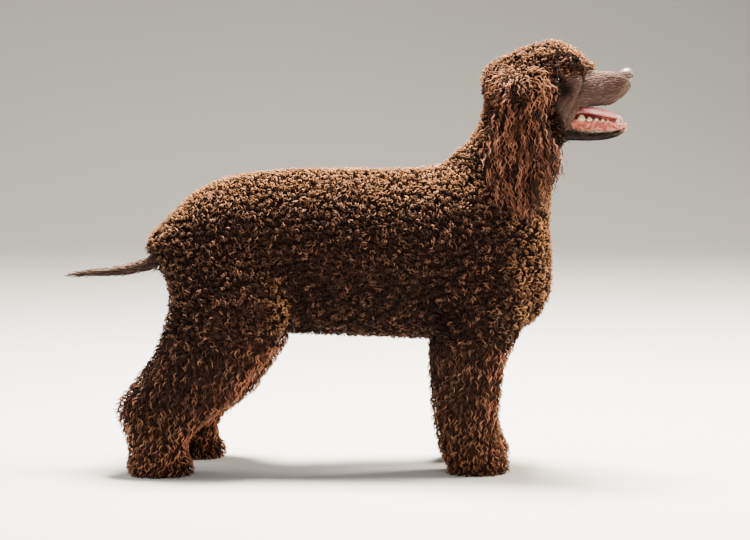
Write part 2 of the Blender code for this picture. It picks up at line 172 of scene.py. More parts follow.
def noise(tree, vector, scale, detail=2.0, roughness=0.5):
    """Fractal noise from 0 to 1 on a vector."""
    inputs = {"Vector": vector, "Scale": scale, "Detail": detail, "Roughness": roughness}
    return node(tree, "ShaderNodeTexNoise", None, inputs)["Fac"]


def object_place(tree):
    return node(tree, "ShaderNodeTexCoord")["Object"]


def marks_on(tree, *titles):
    """The numbers written on the mesh under these names, as sockets."""
    return [node(tree, "ShaderNodeAttribute", {"attribute_name": title})["Fac"] for title in titles]


def bump(tree, height, distance, strength=1.0):
    inputs = {"Height": height, "Distance": distance, "Strength": strength}
    return node(tree, "ShaderNodeBump", None, inputs)["Normal"]


DULL_PAINT, PALE_PAINT = (0.60, 0.595, 0.58), (0.66, 0.655, 0.64)
paint, tree, shader = new_material("floor_paint", 0.7, specular=0.25)
cloudiness = noise(tree, object_place(tree), 0.8, 3.0)
feed(shader, base_color=mixed(cloudiness, DULL_PAINT, PALE_PAINT))
floor.data.materials.append(paint)

CAMERA_DISTANCE, CAMERA_HEIGHT = 4.25, 0.75
AIM = Vector((0.051, 0.0, 0.371))
LENS, SENSOR = 108.5, 36.0

camera_data = bpy.data.cameras.new("camera")
camera_data.lens, camera_data.sensor_width = LENS, SENSOR
camera = new_object("camera", camera_data)
away = math.sqrt(CAMERA_DISTANCE**2 - (CAMERA_HEIGHT - AIM.z) ** 2)
camera.location = AIM + Vector((0, -away, CAMERA_HEIGHT - AIM.z))
camera.rotation_euler = (AIM - camera.location).to_track_quat("-Z", "Y").to_euler()
bpy.context.scene.camera = camera

# place, width, watts and colour of each window of soft light
WINDOWS = {
    "front_window": ((3.2, 0.5, 2.0), 1.2, 400, (1.0, 0.87, 0.70)),
    "roof_window": ((0.3, 0.6, 3.2), 0.9, 1240, (1.0, 0.92, 0.80)),
    "rear_window": ((-3.2, 0.4, 2.2), 1.6, 90, (1.0, 0.94, 0.86)),
    "side_window": ((0.6, -4.2, 2.6), 2.0, 80, (1.0, 0.98, 0.95)),
}
WINDOW_AIM = Vector((0.0, 0.0, 0.4))
ROOM_COLOUR, ROOM_STRENGTH = (1.0, 0.97, 0.93, 1.0), 0.25
for name, (place, width, watts, colour) in WINDOWS.items():
    light = bpy.data.lights.new(name, "AREA")
    light.size, light.energy, light.color = width, watts, colour
    lamp = new_object(name, light)
    lamp.location = place
    lamp.rotation_euler = (WINDOW_AIM - lamp.location).to_track_quat("-Z", "Y").to_euler()
world = bpy.data.worlds.new("room")
world.use_nodes = True
walls = world.node_tree.nodes["Background"]
walls.inputs["Color"].default_value = ROOM_COLOUR
walls.inputs["Strength"].default_value = ROOM_STRENGTH
bpy.context.scene.world = world


# ------------------------------------------------------------------ skin
# One hide covers the whole dog, ears and tail too. It lies under the tips of the coat by the
# depth of the curls, and nearly at the surface where the hair is short: on the face, the jaws
# and the tail.

EAR_NODES = ("ear_left", "ear_right")
FLESH_NODES = ("head", "muzzle", "lower_jaw", "neck", "trunk", "tail") + tuple(
    f"{part}_{side}"
    for part in ("foreleg", "forefoot", "thigh", "hindleg", "hindfoot")
    for side in ("left", "right")
)
CURL_DEPTH, LEG_DEPTH, FOOT_DEPTH = 0.0150, 0.0125, 0.0080
SHORT_HAIR, SHORT_BLEND = 0.0012, 0.020
SOLE_HEIGHT = 0.0015
FOOT_TO_LEG, LEG_TO_BODY = (0.03, 0.10), (0.20, 0.33)


def middle(name):
    lowest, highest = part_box(name)
    return (lowest + highest) / 2


# the head's own frame: forward, left and up from the point between the eyes
BROW = (middle("eye_left") + middle("eye_right")) / 2
LEFTWARD = (middle("eye_left") - middle("eye_right")).normalized()
HEAD_AXES = np.array([LEFTWARD.cross(Vector((0, 0, 1))), LEFTWARD, (0, 0, 1)])


def in_head(points):
    return (np.asarray(points) - np.array(BROW)) @ HEAD_AXES.T


def from_head(points):
    return np.asarray(points) @ HEAD_AXES + np.array(BROW)


def ramp(values, low, high):
    """0 below low, 1 above high, and a smooth step between them."""
    t = np.clip((values - low) / (high - low), 0.0, 1.0)
    return t * t * (3 - 2 * t)


def bell(values, middle, width):
    """1 at the middle, falling away softly over the width."""
    return np.exp(-(((values - middle) / width) ** 2))


# where the curls give way to short hair: how far forward at each height of the cheek, how high
# at each place along the brow, and how high at each place along the root of the tail
CHEEK_LINE = (
    (-0.13, -0.104, -0.085, -0.057, -0.029, 0.0),
    (0.030, 0.0155, 0.010, 0.002, -0.003, -0.006),
)
BROW_LINE = ((-0.01, 0.04, 0.058, 0.070), (0.007, 0.012, 0.015, 0.200))
TAIL_TOP_LINE = ((-0.385, -0.350), (0.402, 0.406))
TAIL_OVERLAP, TAIL_HALF_WIDTH, TAIL_UNDERSIDE = 0.014, 0.022, (0.340, 0.350)


def short_haired(points, soft=0.003):
    """1 where the hair is short and smooth: the face, the jaws and the tail."""
    forward, _, up = in_head(points).T
    cheek = np.interp(up, *CHEEK_LINE)
    fringe = np.interp(forward, *BROW_LINE)
    face = ramp(forward - cheek, -soft, 0.004) * ramp(fringe - up, -soft, 0.003)
    tail_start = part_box("tail")[1].x - TAIL_OVERLAP
    behind = ramp(tail_start - points[:, 0], 0, 0.006)
    behind = behind * ramp(TAIL_HALF_WIDTH - np.abs(points[:, 1]), 0, 0.006)
    tail_top = np.interp(points[:, 0], *TAIL_TOP_LINE)
    above = ramp(points[:, 2], *TAIL_UNDERSIDE)
    return np.maximum(face, behind * ramp(tail_top - points[:, 2], 0, 0.004) * above)


def coat_depth(points):
    """How far the skin lies under the tips of the coat."""
    depth = LEG_DEPTH + (CURL_DEPTH - LEG_DEPTH) * ramp(points[:, 2], *LEG_TO_BODY)
    depth = FOOT_DEPTH + (depth - FOOT_DEPTH) * ramp(points[:, 2], *FOOT_TO_LEG)
    return depth + (SHORT_HAIR - depth) * short_haired(points, SHORT_BLEND)


# half the width of the skull at each place from back to front, and how far forward the
# forehead comes at each height
TEMPLE_LINE = (
    (-0.05, -0.02, -0.01, 0.0, 0.01, 0.02, 0.05),
    (0.050, 0.0465, 0.0455, 0.0440, 0.0415, 0.0380, 0.0330),
)
FOREHEAD_LINE = (
    (0.006, 0.011, 0.016, 0.022, 0.032, 0.045, 0.060, 0.075),
    (0.300, 0.075, 0.056, 0.046, 0.036, 0.020, -0.005, -0.040),
)
CHEEKBONE, BACK_OF_SKULL = 0.0045, (-0.055, -0.025)


def skull_under(points):
    """The brow and temples drawn in to the skull, which the fringe of the topknot hides."""
    forward, side, up = in_head(points).T
    untouched = 0.5 * (1 - ramp(forward, *BACK_OF_SKULL))
    temple = np.interp(forward, *TEMPLE_LINE) + CHEEKBONE * ramp(-up, 0.006, 0.024) + untouched
    beyond = np.maximum(np.abs(side) - temple, 0)
    side = side - np.sign(side) * beyond * 0.9
    forehead = np.interp(up, *FOREHEAD_LINE)
    forward = forward - np.maximum(forward - forehead, 0) * 0.92
    return from_head(np.stack([forward, side, up], axis=1))


def vertices_of(mesh, what="co"):
    """The place of each vertex of a mesh, or its normal."""
    flat = np.empty(len(mesh.vertices) * 3)
    mesh.vertices.foreach_get(what, flat)
    return flat.reshape(-1, 3)


def normals_of(mesh):
    return vertices_of(mesh, "normal")


def put_vertices(mesh, points):
    mesh.vertices.foreach_set("co", points.ravel())
    mesh.update()


class Smoother:
    """Draws each vertex of a mesh towards the mean of its neighbours."""

    def __init__(self, mesh):
        flat = np.empty(len(mesh.edges) * 2, int)
        mesh.edges.foreach_get("vertices", flat)
        pairs = flat.reshape(-1, 2)
        self.start = np.concatenate([pairs[:, 0], pairs[:, 1]])
        self.end = np.concatenate([pairs[:, 1], pairs[:, 0]])
        self.count = len(mesh.vertices)
        self.degree = np.maximum(np.bincount(self.start, minlength=self.count), 1)

    def mean(self, values):
        sums = [np.bincount(self.start, column[self.end], self.count) for column in values.T]
        return np.stack(sums, axis=1) / self.degree[:, None]

    def smooth(self, values, strength, passes):
        for _ in range(passes):
            values = values + (self.mean(values) - values) * strength
        return values


def through(mesh, *modifiers, weights=None):
    """The mesh as these modifiers leave it. Each is a type and its settings."""
    holder = new_object("holder", mesh)
    if weights is not None:
        group = holder.vertex_groups.new(name="weights")
        for weight in np.unique(weights):
            group.add(np.nonzero(weights == weight)[0].tolist(), float(weight), "REPLACE")
    for kind, settings in modifiers:
        modifier = holder.modifiers.new(kind, kind)
        for name, value in settings.items():
            setattr(modifier, name, value)
    graph = bpy.context.evaluated_depsgraph_get()
    made = bpy.data.meshes.new_from_object(holder.evaluated_get(graph))
    bpy.data.objects.remove(holder)
    return made


def copies(nodes, swell):
    """Copies of these CAD nodes, each grown a little so that neighbours run together."""
    whole = bmesh.new()
    for name in nodes:
        part = bmesh.new()
        part.from_mesh(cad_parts[name].data)
        bmesh.ops.remove_doubles(part, verts=part.verts, dist=1e-5)
        part.normal_update()
        places = [v.co + v.normal * swell for v in part.verts]
        for v, place in zip(part.verts, places):
            v.co = place
        whole.from_mesh(finished(part, "part"))
    return finished(whole, "flesh")


def tree_of(mesh):
    holder = bmesh.new()
    holder.from_mesh(mesh)
    tree = BVHTree.FromBMesh(holder)
    holder.free()
    return tree


def drawn_in(mesh, depth_of, steps, swell):
    """The mesh with its surface moved inwards in small steps, evened out after each."""
    points = vertices_of(mesh)
    depths = (depth_of(points) + swell)[:, None]
    evener = Smoother(mesh)
    for _ in range(steps):
        points = points - normals_of(mesh) * depths / steps
        smooth = evener.smooth(points, 0.5, 1)
        share = ramp(depths, 0.002, 0.008)
        points = points + (smooth - points) * share
        put_vertices(mesh, points)
    return mesh


def melted(mesh, grain):
    """The mesh made one closed skin with faces of this size."""
    return through(mesh, ("REMESH", {"mode": "VOXEL", "voxel_size": grain}))


SWELL, ROUGH_GRAIN, SKIN_GRAIN = 0.0016, 0.0030, 0.0022
DRAWING_STEPS = 8
flesh = drawn_in(melted(copies(FLESH_NODES, SWELL), ROUGH_GRAIN), coat_depth, DRAWING_STEPS, SWELL)
before = vertices_of(flesh)
shaped = skull_under(before)
moved = (np.linalg.norm(shaped - before, axis=1) > 0.0003)[:, None].astype(float)
evener = Smoother(flesh)
share = evener.smooth(moved, 0.7, 4)
for _ in range(8):
    shaped = shaped + (evener.mean(shaped) - shaped) * 0.6 * share
put_vertices(flesh, shaped)

leather = melted(copies(EAR_NODES, 0.0), ROUGH_GRAIN)
LEATHER_THICKNESS, LEATHER_INSET = 0.0056, 0.0110
LEATHER_TOP, LEATHER_HEM = 0.0200, 0.0100
LEATHER_LEVELS, LEVEL_HALF, NARROWEST, THICKEST = 24, 0.006, 0.40, 0.9


def leather_in(points):
    """An ear's leather: each level of the ear made narrower and thinner about its middle."""
    level = np.linspace(points[:, 2].min(), points[:, 2].max(), LEATHER_LEVELS)
    rows = []
    for z in level:
        near = points[np.abs(points[:, 2] - z) < LEVEL_HALF]
        rows.append([near[:, 0].min(), near[:, 0].max(), near[:, 1].min(), near[:, 1].max()])
    back, front, inner, outer = (np.interp(points[:, 2], level, row) for row in np.array(rows).T)
    width, thickness = front - back, outer - inner
    narrower = np.maximum(1 - 2 * LEATHER_INSET / np.maximum(width, 0.001), NARROWEST)
    thinner = np.minimum(LEATHER_THICKNESS / np.maximum(thickness, 0.001), THICKEST)
    x = (back + front) / 2 + (points[:, 0] - (back + front) / 2) * narrower
    y = (inner + outer) / 2 + (points[:, 1] - (inner + outer) / 2) * thinner
    top, height = points[:, 2].max(), np.ptp(points[:, 2])
    z = top - LEATHER_TOP + (points[:, 2] - top) * (height - LEATHER_HEM - LEATHER_TOP) / height
    return np.stack([x, y, z], axis=1)


points = vertices_of(leather)
on_left = points[:, 1] > BROW.y
points[on_left], points[~on_left] = leather_in(points[on_left]), leather_in(points[~on_left])
put_vertices(leather, points)

whole = bmesh.new()
whole.from_mesh(flesh)
whole.from_mesh(leather)
EAR_ROOT, EAR_ROOT_SIZE = (-0.062, 0.062, -0.012), (0.032, 0.030, 0.024)
for side in (-1, 1):
    root = from_head(np.array(EAR_ROOT) * (1, side, 1))
    placed = Matrix.Translation(root) @ Matrix.Diagonal((*EAR_ROOT_SIZE, 1))
    bmesh.ops.create_icosphere(whole, subdivisions=3, radius=1.0, matrix=placed)
skin_mesh = melted(finished(whole, "skin"), SKIN_GRAIN)
points = vertices_of(skin_mesh)
evener = Smoother(skin_mesh)
points = evener.smooth(points, 0.5, 4)
points[:, 2] = np.maximum(points[:, 2], SOLE_HEIGHT)
put_vertices(skin_mesh, points)

# the hide is thinned under the curls, and hardly at all where it is seen
SKIN_TRIANGLES, KEPT_WHERE_SEEN = 105000, 0.9
skin_mesh.calc_loop_triangles()
thinning = {"ratio": SKIN_TRIANGLES / len(skin_mesh.loop_triangles), "vertex_group": "weights"}
hidden_share = 1.0 - KEPT_WHERE_SEEN * np.round(short_haired(points), 1)
skin_mesh = through(skin_mesh, ("DECIMATE", thinning), weights=hidden_share)


# ------------------------------------------------------------------ face
# The face is the same skin under short, flat hair, so its shapes are given one by one: brow,
# cheekbone, stop, lip pads, the crease before the cheek, and the lids. The skin is finer there.
# Each lid is a rim that lies on the eyeball, and the skin closes behind it.

skin_sculpt = bmesh.new()
skin_sculpt.from_mesh(skin_mesh)
bmesh.ops.triangulate(skin_sculpt, faces=skin_sculpt.faces[:])
places = np.array([v.co for v in skin_sculpt.verts])
BACK_OF_FACE = -0.06
in_face = (short_haired(places, 0.008) > 0.05) & (in_head(places)[:, 0] > BACK_OF_FACE)
edges = [e for e in skin_sculpt.edges if all(in_face[v.index] for v in e.verts)]
bmesh.ops.subdivide_edges(skin_sculpt, edges=edges, cuts=1, use_grid_fill=True)
bmesh.ops.triangulate(skin_sculpt, faces=skin_sculpt.faces[:])
skin_mesh = finished(skin_sculpt, "skin")

# place in the head (forward, aside, up), size of the touch, and how far the skin moves out
TOUCHES = (
    ((0.004, 0.036, 0.017), (0.014, 0.012, 0.006), 0.0022),
    ((0.037, 0.026, -0.004), (0.010, 0.010, 0.010), 0.0024),
    ((0.016, 0.038, -0.021), (0.014, 0.014, 0.012), -0.0024),
    ((0.050, 0.020, 0.006), (0.006, 0.014, 0.011), -0.0034),
    ((0.050, 0.006, 0.016), (0.014, 0.010, 0.012), -0.0030),
    ((0.004, 0.046, -0.046), (0.016, 0.014, 0.020), 0.0020),
    ((0.098, 0.030, -0.030), (0.026, 0.014, 0.018), 0.0016),
    ((0.060, 0.034, -0.034), (0.018, 0.014, 0.014), 0.0010),
    ((0.118, 0.016, -0.004), (0.010, 0.010, 0.008), -0.0010),
    ((0.090, 0.000, 0.020), (0.034, 0.004, 0.008), -0.0008),
    ((0.137, 0.000, -0.014), (0.012, 0.0018, 0.016), -0.0022),
    ((0.128, 0.009, -0.018), (0.012, 0.008, 0.012), 0.0012),
    ((0.117, 0.000, 0.018), (0.011, 0.020, 0.006), 0.0024),
    ((0.106, 0.000, 0.012), (0.022, 0.015, 0.010), 0.0042),
    ((0.122, 0.000, -0.104), (0.012, 0.012, 0.010), 0.0014),
    ((0.044, 0.030, -0.102), (0.010, 0.010, 0.006), 0.0014),
)
# the crease from the stop down to the corner of the mouth, as forward and up, and the ridge
# that stands behind it: how far they go in or out, how far apart they are, and how wide
CREASE = np.array([
    (0.052, -0.001), (0.046, -0.022), (0.040, -0.036), (0.033, -0.051), (0.026, -0.062), (0.020, -0.072),
])
CREASE_IN, CREASE_WIDTH = 0.0016, 0.0042
RIDGE_OUT, RIDGE_BEHIND, RIDGE_WIDTH = 0.0015, 0.0060, 0.0040
SIDE_OF_FACE = (0.022, 0.028)


def crease_at(places):
    """How far places in the head are from the crease, and 1 where they lie behind it."""
    distances = np.full(len(places), 1.0)
    for start, end in zip(CREASE[:-1], CREASE[1:]):
        way = end - start
        t = np.clip(((places[:, [0, 2]] - start) @ way) / (way @ way), 0, 1)
        gap = np.linalg.norm(places[:, [0, 2]] - start - t[:, None] * way, axis=1)
        distances = np.minimum(distances, gap)
    line = np.interp(-places[:, 2], -CREASE[:, 1], CREASE[:, 0])
    return distances, ramp(line - places[:, 0], 0.0, 0.003)


def both_sides(points):
    """Places in the head's frame, with those on the right side folded over to the left."""
    places = in_head(points)
    places[:, 1] = np.abs(places[:, 1])
    return places


def patch(folded, place, size):
    """1 at a place in the head, falling away softly over its size."""
    return np.exp(-(((folded - place) / size) ** 2).sum(axis=1))


points = vertices_of(skin_mesh)
evener = Smoother(skin_mesh)
faceward = short_haired(points, 0.010)[:, None]
for _ in range(3):
    points = points + (evener.mean(points) - points) * 0.5 * faceward
put_vertices(skin_mesh, points)
normals = normals_of(skin_mesh)
folded = both_sides(points)
lift = np.zeros(len(points))
for place, size, amount in TOUCHES:
    lift += amount * patch(folded, place, size)
from_crease, behind_crease = crease_at(folded)
outer = ramp(folded[:, 1], *SIDE_OF_FACE)
lift -= CREASE_IN * bell(from_crease, 0, CREASE_WIDTH) * outer
lift += RIDGE_OUT * bell(from_crease, RIDGE_BEHIND, RIDGE_WIDTH) * outer * behind_crease
points = points + normals * (lift * short_haired(points, 0.012))[:, None]
points = evener.smooth(points, 0.3, 1) * faceward + points * (1 - faceward)
put_vertices(skin_mesh, points)

# the eyeball's centre in the head, its radius, and the way it looks, on the left side
EYE_CENTRE, EYEBALL, LID = np.array([-0.0030, 0.0352, -0.0005]), 0.0106, 0.0012
GAZE = np.array([0.640, 0.765, 0.060]) / np.linalg.norm([0.640, 0.765, 0.060])
INWARD = np.cross(GAZE, (0, 0, 1)) / np.linalg.norm(np.cross(GAZE, (0, 0, 1)))
SKYWARD = np.cross(INWARD, GAZE)
# the lids are drawn as rings from the socket's rim to the edge of the opening
EYE_STEPS, SOCKET, LID_REACH, LID_ROUND = 56, 0.0135, 0.0200, 0.0095
LID_RINGS = (0.93, 0.72, 0.52, 0.34, 0.20, 0.10, 0.035, 0.0)
LID_RIM = ((0.0008, 0.975), (0.0022, 0.95))
LID_FOLD, FOLD_PLACE, FOLD_WIDTH = 0.0007, 0.34, 0.10
LID_PLUMP, PLUMP_PLACE, PLUMP_WIDTH = 0.0005, 0.10, 0.08
OPEN_WIDTH, OPEN_ABOVE, OPEN_BELOW = 0.0101, 0.0068, 0.0053


def eye_axes(side):
    """The gaze, the way to the inner corner and the way up, for the left or right eye."""
    flip = np.array([1, side, 1])
    return np.stack([GAZE, INWARD, SKYWARD]) * flip


def lid_edge(angle):
    """The almond opening between the lids, seen along the gaze."""
    across, upward = math.cos(angle), math.sin(angle)
    height = OPEN_ABOVE if upward > 0 else OPEN_BELOW
    rise = height * abs(upward) ** 0.9 * (1 if upward > 0 else -1)
    slant = -0.0010 * across
    return np.array([OPEN_WIDTH * across + 0.0002, rise + slant])


def smooth_max(first, second, soft):
    gap = np.clip(0.5 + 0.5 * (first - second) / soft, 0, 1)
    return second + (first - second) * gap + soft * gap * (1 - gap)


def over_eyeball(reach, upward):
    """Height of the lids over the plane through the eyeball's middle."""
    rise = EYEBALL + LID + 0.0009 * ramp(upward, 0.003, 0.008)
    round_part = np.sqrt(np.maximum(rise**2 - np.minimum(reach, LID_ROUND) ** 2, 0))
    slope = -LID_ROUND / math.sqrt(rise.min() ** 2 - LID_ROUND**2)
    return round_part + np.maximum(reach - LID_ROUND, 0) * slope * 0.9


for side in (-1, 1):
    skin_tree = tree_of(skin_mesh)
    axes = eye_axes(side)
    middle_of_eye = EYE_CENTRE * (1, side, 1)
    local = (in_head(vertices_of(skin_mesh)) - middle_of_eye) @ axes.T
    reach = np.hypot(local[:, 1], local[:, 2])
    near = (reach < LID_REACH) & (local[:, 0] > -0.008)
    lidded = smooth_max(over_eyeball(reach, local[:, 2]), local[:, 0], 0.0035)
    local[near, 0] = lidded[near]
    new_points = vertices_of(skin_mesh)
    new_points[near] = from_head(local[near] @ axes + middle_of_eye)
    put_vertices(skin_mesh, new_points)
    lid_tree = tree_of(skin_mesh)

    work = bmesh.new()
    work.from_mesh(skin_mesh)
    work.verts.ensure_lookup_table()
    hidden = [work.verts[i] for i in np.nonzero(near & (reach < SOCKET))[0]]
    bmesh.ops.delete(work, geom=hidden, context="VERTS")
    rim = [e for e in work.edges if e.is_boundary]
    rings = []
    turns = np.linspace(0, 2 * math.pi, EYE_STEPS, endpoint=False)
    for share in LID_RINGS:
        ring = []
        for angle in turns:
            inner = lid_edge(angle)
            outer_place = np.array([math.cos(angle), math.sin(angle)]) * SOCKET
            p, q = inner + (outer_place - inner) * share
            start = from_head(np.array([0.03, p, q]) @ axes + middle_of_eye)
            way = from_head(np.array([-1.0, 0, 0]) @ axes) - from_head(np.zeros(3))
            hit = lid_tree.ray_cast(Vector(start), Vector(way), 0.06)[0]
            height = ((in_head(np.array(hit)) - middle_of_eye) @ axes.T)[0]
            fold = LID_FOLD * bell(share, FOLD_PLACE, FOLD_WIDTH) * (0.5 + 0.5 * math.sin(angle))
            plump = LID_PLUMP * bell(share, PLUMP_PLACE, PLUMP_WIDTH)
            height = height - fold + plump
            ring.append(work.verts.new(from_head(np.array([height, p, q]) @ axes + middle_of_eye)))
        rings.append(ring)
    for drop, shrink in LID_RIM:
        ring = []
        for angle in turns:
            p, q = lid_edge(angle) * shrink
            height = math.sqrt((EYEBALL + LID) ** 2 - p * p - q * q) - drop
            ring.append(work.verts.new(from_head(np.array([height, p, q]) @ axes + middle_of_eye)))
        rings.append(ring)
    for outer_ring, inner_ring in zip(rings[:-1], rings[1:]):
        for k in range(EYE_STEPS):
            j = (k + 1) % EYE_STEPS
            work.faces.new((outer_ring[k], outer_ring[j], inner_ring[j], inner_ring[k]))
    work.faces.new(rings[-1])
    outermost = zip(rings[0], rings[0][1:] + rings[0][:1])
    bmesh.ops.bridge_loops(work, edges=rim + [work.edges.get(pair) for pair in outermost])
    bmesh.ops.triangulate(work, faces=work.faces[:])
    bmesh.ops.recalc_face_normals(work, faces=work.faces[:])
    skin_mesh = finished(work, "skin")

skin_mesh.name = "skin"
skin_mesh.shade_smooth()
skin = new_object("skin", skin_mesh)
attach(skin, "root")
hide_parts(*FLESH_NODES, *EAR_NODES)

# where the skin lines the mouth: flesh on both sides of it, level with it
skin_tree = tree_of(skin_mesh)
points, normals = vertices_of(skin_mesh), normals_of(skin_mesh)
folded = both_sides(points)
forward, aside, up = folded.T
inside = np.zeros(len(points))
MOUTH_BOX = ((-0.012, -0.001, -0.1045), (0.136, 0.036, -0.012))
OFF_SKIN, ACROSS_MOUTH = 0.0006, 0.07
by_mouth = ((folded > MOUTH_BOX[0]) & (folded < MOUTH_BOX[1])).all(axis=1)
under_nose = (forward > 0.110) & (up > -0.024)
by_mouth &= ~under_nose
for index in np.nonzero(by_mouth)[0]:
    start = Vector(points[index] + normals[index] * OFF_SKIN)
    walled = all(skin_tree.ray_cast(start, LEFTWARD * way, ACROSS_MOUTH)[0] for way in (-1, 1))
    inside[index] = float(walled)
evener = Smoother(skin_mesh)
inside = evener.smooth(inside[:, None], 0.6, 4)[:, 0]
lip_edge = np.clip(4 * inside * (1 - inside), 0, 1)
lip_edge = lip_edge * ramp(forward, 0.005, 0.020)

# where the face is darker, with painted shade round the eye, in the hollow under it and at the stop: how
# dark, where, and how large
DARKER_PATCHES = (
    (1.60, (0.004, 0.042, -0.003), (0.0165, 0.022, 0.0135)),  # round the eye
    (1.00, (0.017, 0.040, -0.020), (0.0160, 0.020, 0.0160)),  # the hollow under it
    (0.95, (0.049, 0.024, 0.006), (0.0060, 0.020, 0.0100)),  # the stop
    (0.60, (0.106, 0.020, 0.006), (0.0150, 0.014, 0.0075)),  # behind the nose
    (0.55, (0.080, 0.030, -0.047), (0.0340, 0.020, 0.0100)),  # the edge of the upper lip
)
DARK_CHEEK_LINE = ((-0.104, -0.057, 0.0), (0.0155, 0.002, -0.006))
# the brow bone, where a painted highlight lightens the face
BROW_BONE = ((0.038, 0.030, -0.004), (0.0080, 0.020, 0.0090))
from_crease, behind_crease = crease_at(folded)
outer = ramp(aside, *SIDE_OF_FACE)
dark = sum(amount * patch(folded, place, size) for amount, place, size in DARKER_PATCHES)
lower_jaw = ramp(-up, 0.0900, 0.0945) * ramp(forward, 0.006, 0.026)
cheek = ramp(np.interp(up, *DARK_CHEEK_LINE) + 0.026 - forward, 0.0, 0.030)
# painted shade along the crease before the cheek
crease = bell(from_crease, 0, 0.0055) * outer
muzzle_end = ramp(forward, 0.085, 0.130) * ramp(up, -0.070, -0.050)
lip_pad = ramp(forward, 0.050, 0.075) * ramp(-up, 0.018, 0.045) * ramp(up, -0.075, -0.060)
dark += 1.20 * lower_jaw + 0.70 * cheek + 0.26 * crease + 0.30 * muzzle_end + 0.16 * lip_pad
# painted highlight on the ridge behind the crease and on the brow bone, taken off the darkening
ridge_highlight = bell(from_crease, RIDGE_BEHIND, 0.0045) * behind_crease * outer
dark = np.clip(dark - 0.22 * np.maximum(ridge_highlight, patch(folded, *BROW_BONE)), 0, 1)


def put_marks(mesh, **marks):
    """Writes a number for each vertex under each name, for the materials to read."""
    for title, values in marks.items():
        mesh.attributes.new(title, "FLOAT", "POINT").data.foreach_set("value", values)


put_marks(skin_mesh, short=short_haired(points, 0.006), inside=inside, lip_edge=lip_edge, dark=dark)

TAUPE_DULL, TAUPE_PALE, TAUPE_RED = (0.051, 0.0272, 0.0225), (0.126, 0.0735, 0.0610), (0.083, 0.038, 0.027)
# the colours of the darker parts of the face, much of them painted shade
DARKENED_DEEP, DARKENED_LIGHT = (0.0046, 0.0023, 0.0014), (0.016, 0.0078, 0.0048)
LIP_DARK, LIP_GRIZZLED = (0.016, 0.0085, 0.0072), (0.30, 0.22, 0.17)
# the underfur, seen between the curls: the coat's dark roots, with painted shade
UNDERFUR_DARK, UNDERFUR_PALE = (0.010, 0.0042, 0.0028), (0.030, 0.0125, 0.0080)
PALATE_DARK, PALATE_PALE = (0.140, 0.018, 0.017), (0.220, 0.042, 0.035)
# painted sunlight on the short hair, with some real bleaching
SUNLIT_TAUPE = (0.300, 0.205, 0.140)
HAIR_STREAKS, CLOUD_SCALE = (260, 1100, 900), 45.0


def taupe_hair(hairs, cloud, dark_here, lip_here):
    """The colour of the short smooth hair, with its darker parts, much of them painted shade, and its
    grizzled lip.
    """
    taupe = mixed(hairs.between(0.30, 0.70), TAUPE_DULL, TAUPE_PALE)
    taupe = mixed(cloud.between(0.35, 0.70) * 0.40, taupe, TAUPE_RED)
    darkened = mixed(hairs.between(0.35, 0.75), DARKENED_DEEP, DARKENED_LIGHT)
    grizzled = mixed(hairs.between(0.45, 0.60), LIP_DARK, LIP_GRIZZLED)
    return mixed(lip_here.between(0.25, 0.80), mixed(dark_here, taupe, darkened), grizzled)


hide, tree, shader = new_material("hide", 0.66, specular=0.06)
here = object_place(tree)
short_here, inside_here, lip_here, dark_here = marks_on(tree, "short", "inside", "lip_edge", "dark")
drawn_out = {"Vector": here, "Scale": HAIR_STREAKS}
hairs = noise(tree, node(tree, "ShaderNodeMapping", None, drawn_out)["Vector"], 1.0, 3.0, 0.6)
cloud = noise(tree, here, CLOUD_SCALE, 3.0)
taupe = taupe_hair(hairs, cloud, dark_here, lip_here)
depths = noise(tree, here, 160.0, 2.0)
underfur = mixed(depths.between(0.35, 0.65), UNDERFUR_DARK, UNDERFUR_PALE)
palate = mixed(cloud.between(0.3, 0.7), PALATE_DARK, PALATE_PALE)
wet = inside_here.between(0.45, 0.75)
feed(
    shader,
    base_color=mixed(wet, mixed(short_here, underfur, taupe), palate),
    roughness=0.92 - short_here * 0.26 - wet * 0.36,
    normal=bump(tree, hairs * (1 - wet) + cloud * wet * 0.5, 0.0009, 0.6),
)
skin_mesh.materials.append(hide)

smooth_hair, tree, shader = new_material("smooth_hair", 0.64, specular=0.05, sheen=0.03)
here = object_place(tree)
lip_here, dark_here, tone, sun_here = marks_on(tree, "lip_edge", "dark", "tone", "sun")
hairs = noise(tree, here, 420.0, 2.0, 0.6) * 0.5 + tone * 0.5
taupe = taupe_hair(hairs, noise(tree, here, CLOUD_SCALE, 3.0), dark_here, lip_here)
# the short hair is lighter where it faces up or ahead: painted sunlight, with some real bleaching
feed(shader, base_color=mixed(sun_here * 0.5, taupe, SUNLIT_TAUPE))


# ------------------------------------------------------------------ mouth
# The open mouth shows the pink lining of the lower lip, the gums, a full set of cream teeth and
# a broad wet tongue. The lining runs round the jaw as one band from the lip to the floor of the
# mouth, and the teeth stand in its crest.

skin_tree = tree_of(skin_mesh)


def flowing(places, count):
    """Evenly spaced points on a smooth curve through the places."""
    places = np.array(places, float)
    ends = np.concatenate([[2 * places[0] - places[1]], places, [2 * places[-1] - places[-2]]])
    fine = []
    for k in range(len(places) - 1):
        a, b, c, d = ends[k:k + 4]
        t = np.linspace(0, 1, 24, endpoint=False)[:, None]
        fine.append(0.5 * (2 * b + (c - a) * t + (2 * a - 5 * b + 4 * c - d) * t**2
                           + (3 * b - a - 3 * c + d) * t**3))
    fine = np.concatenate(fine + [places[-1:]])
    run = np.concatenate([[0], np.cumsum(np.linalg.norm(np.diff(fine, axis=0), axis=1))])
    even = np.linspace(0, run[-1], count)
    return np.stack([np.interp(even, run, column) for column in fine.T], axis=1)


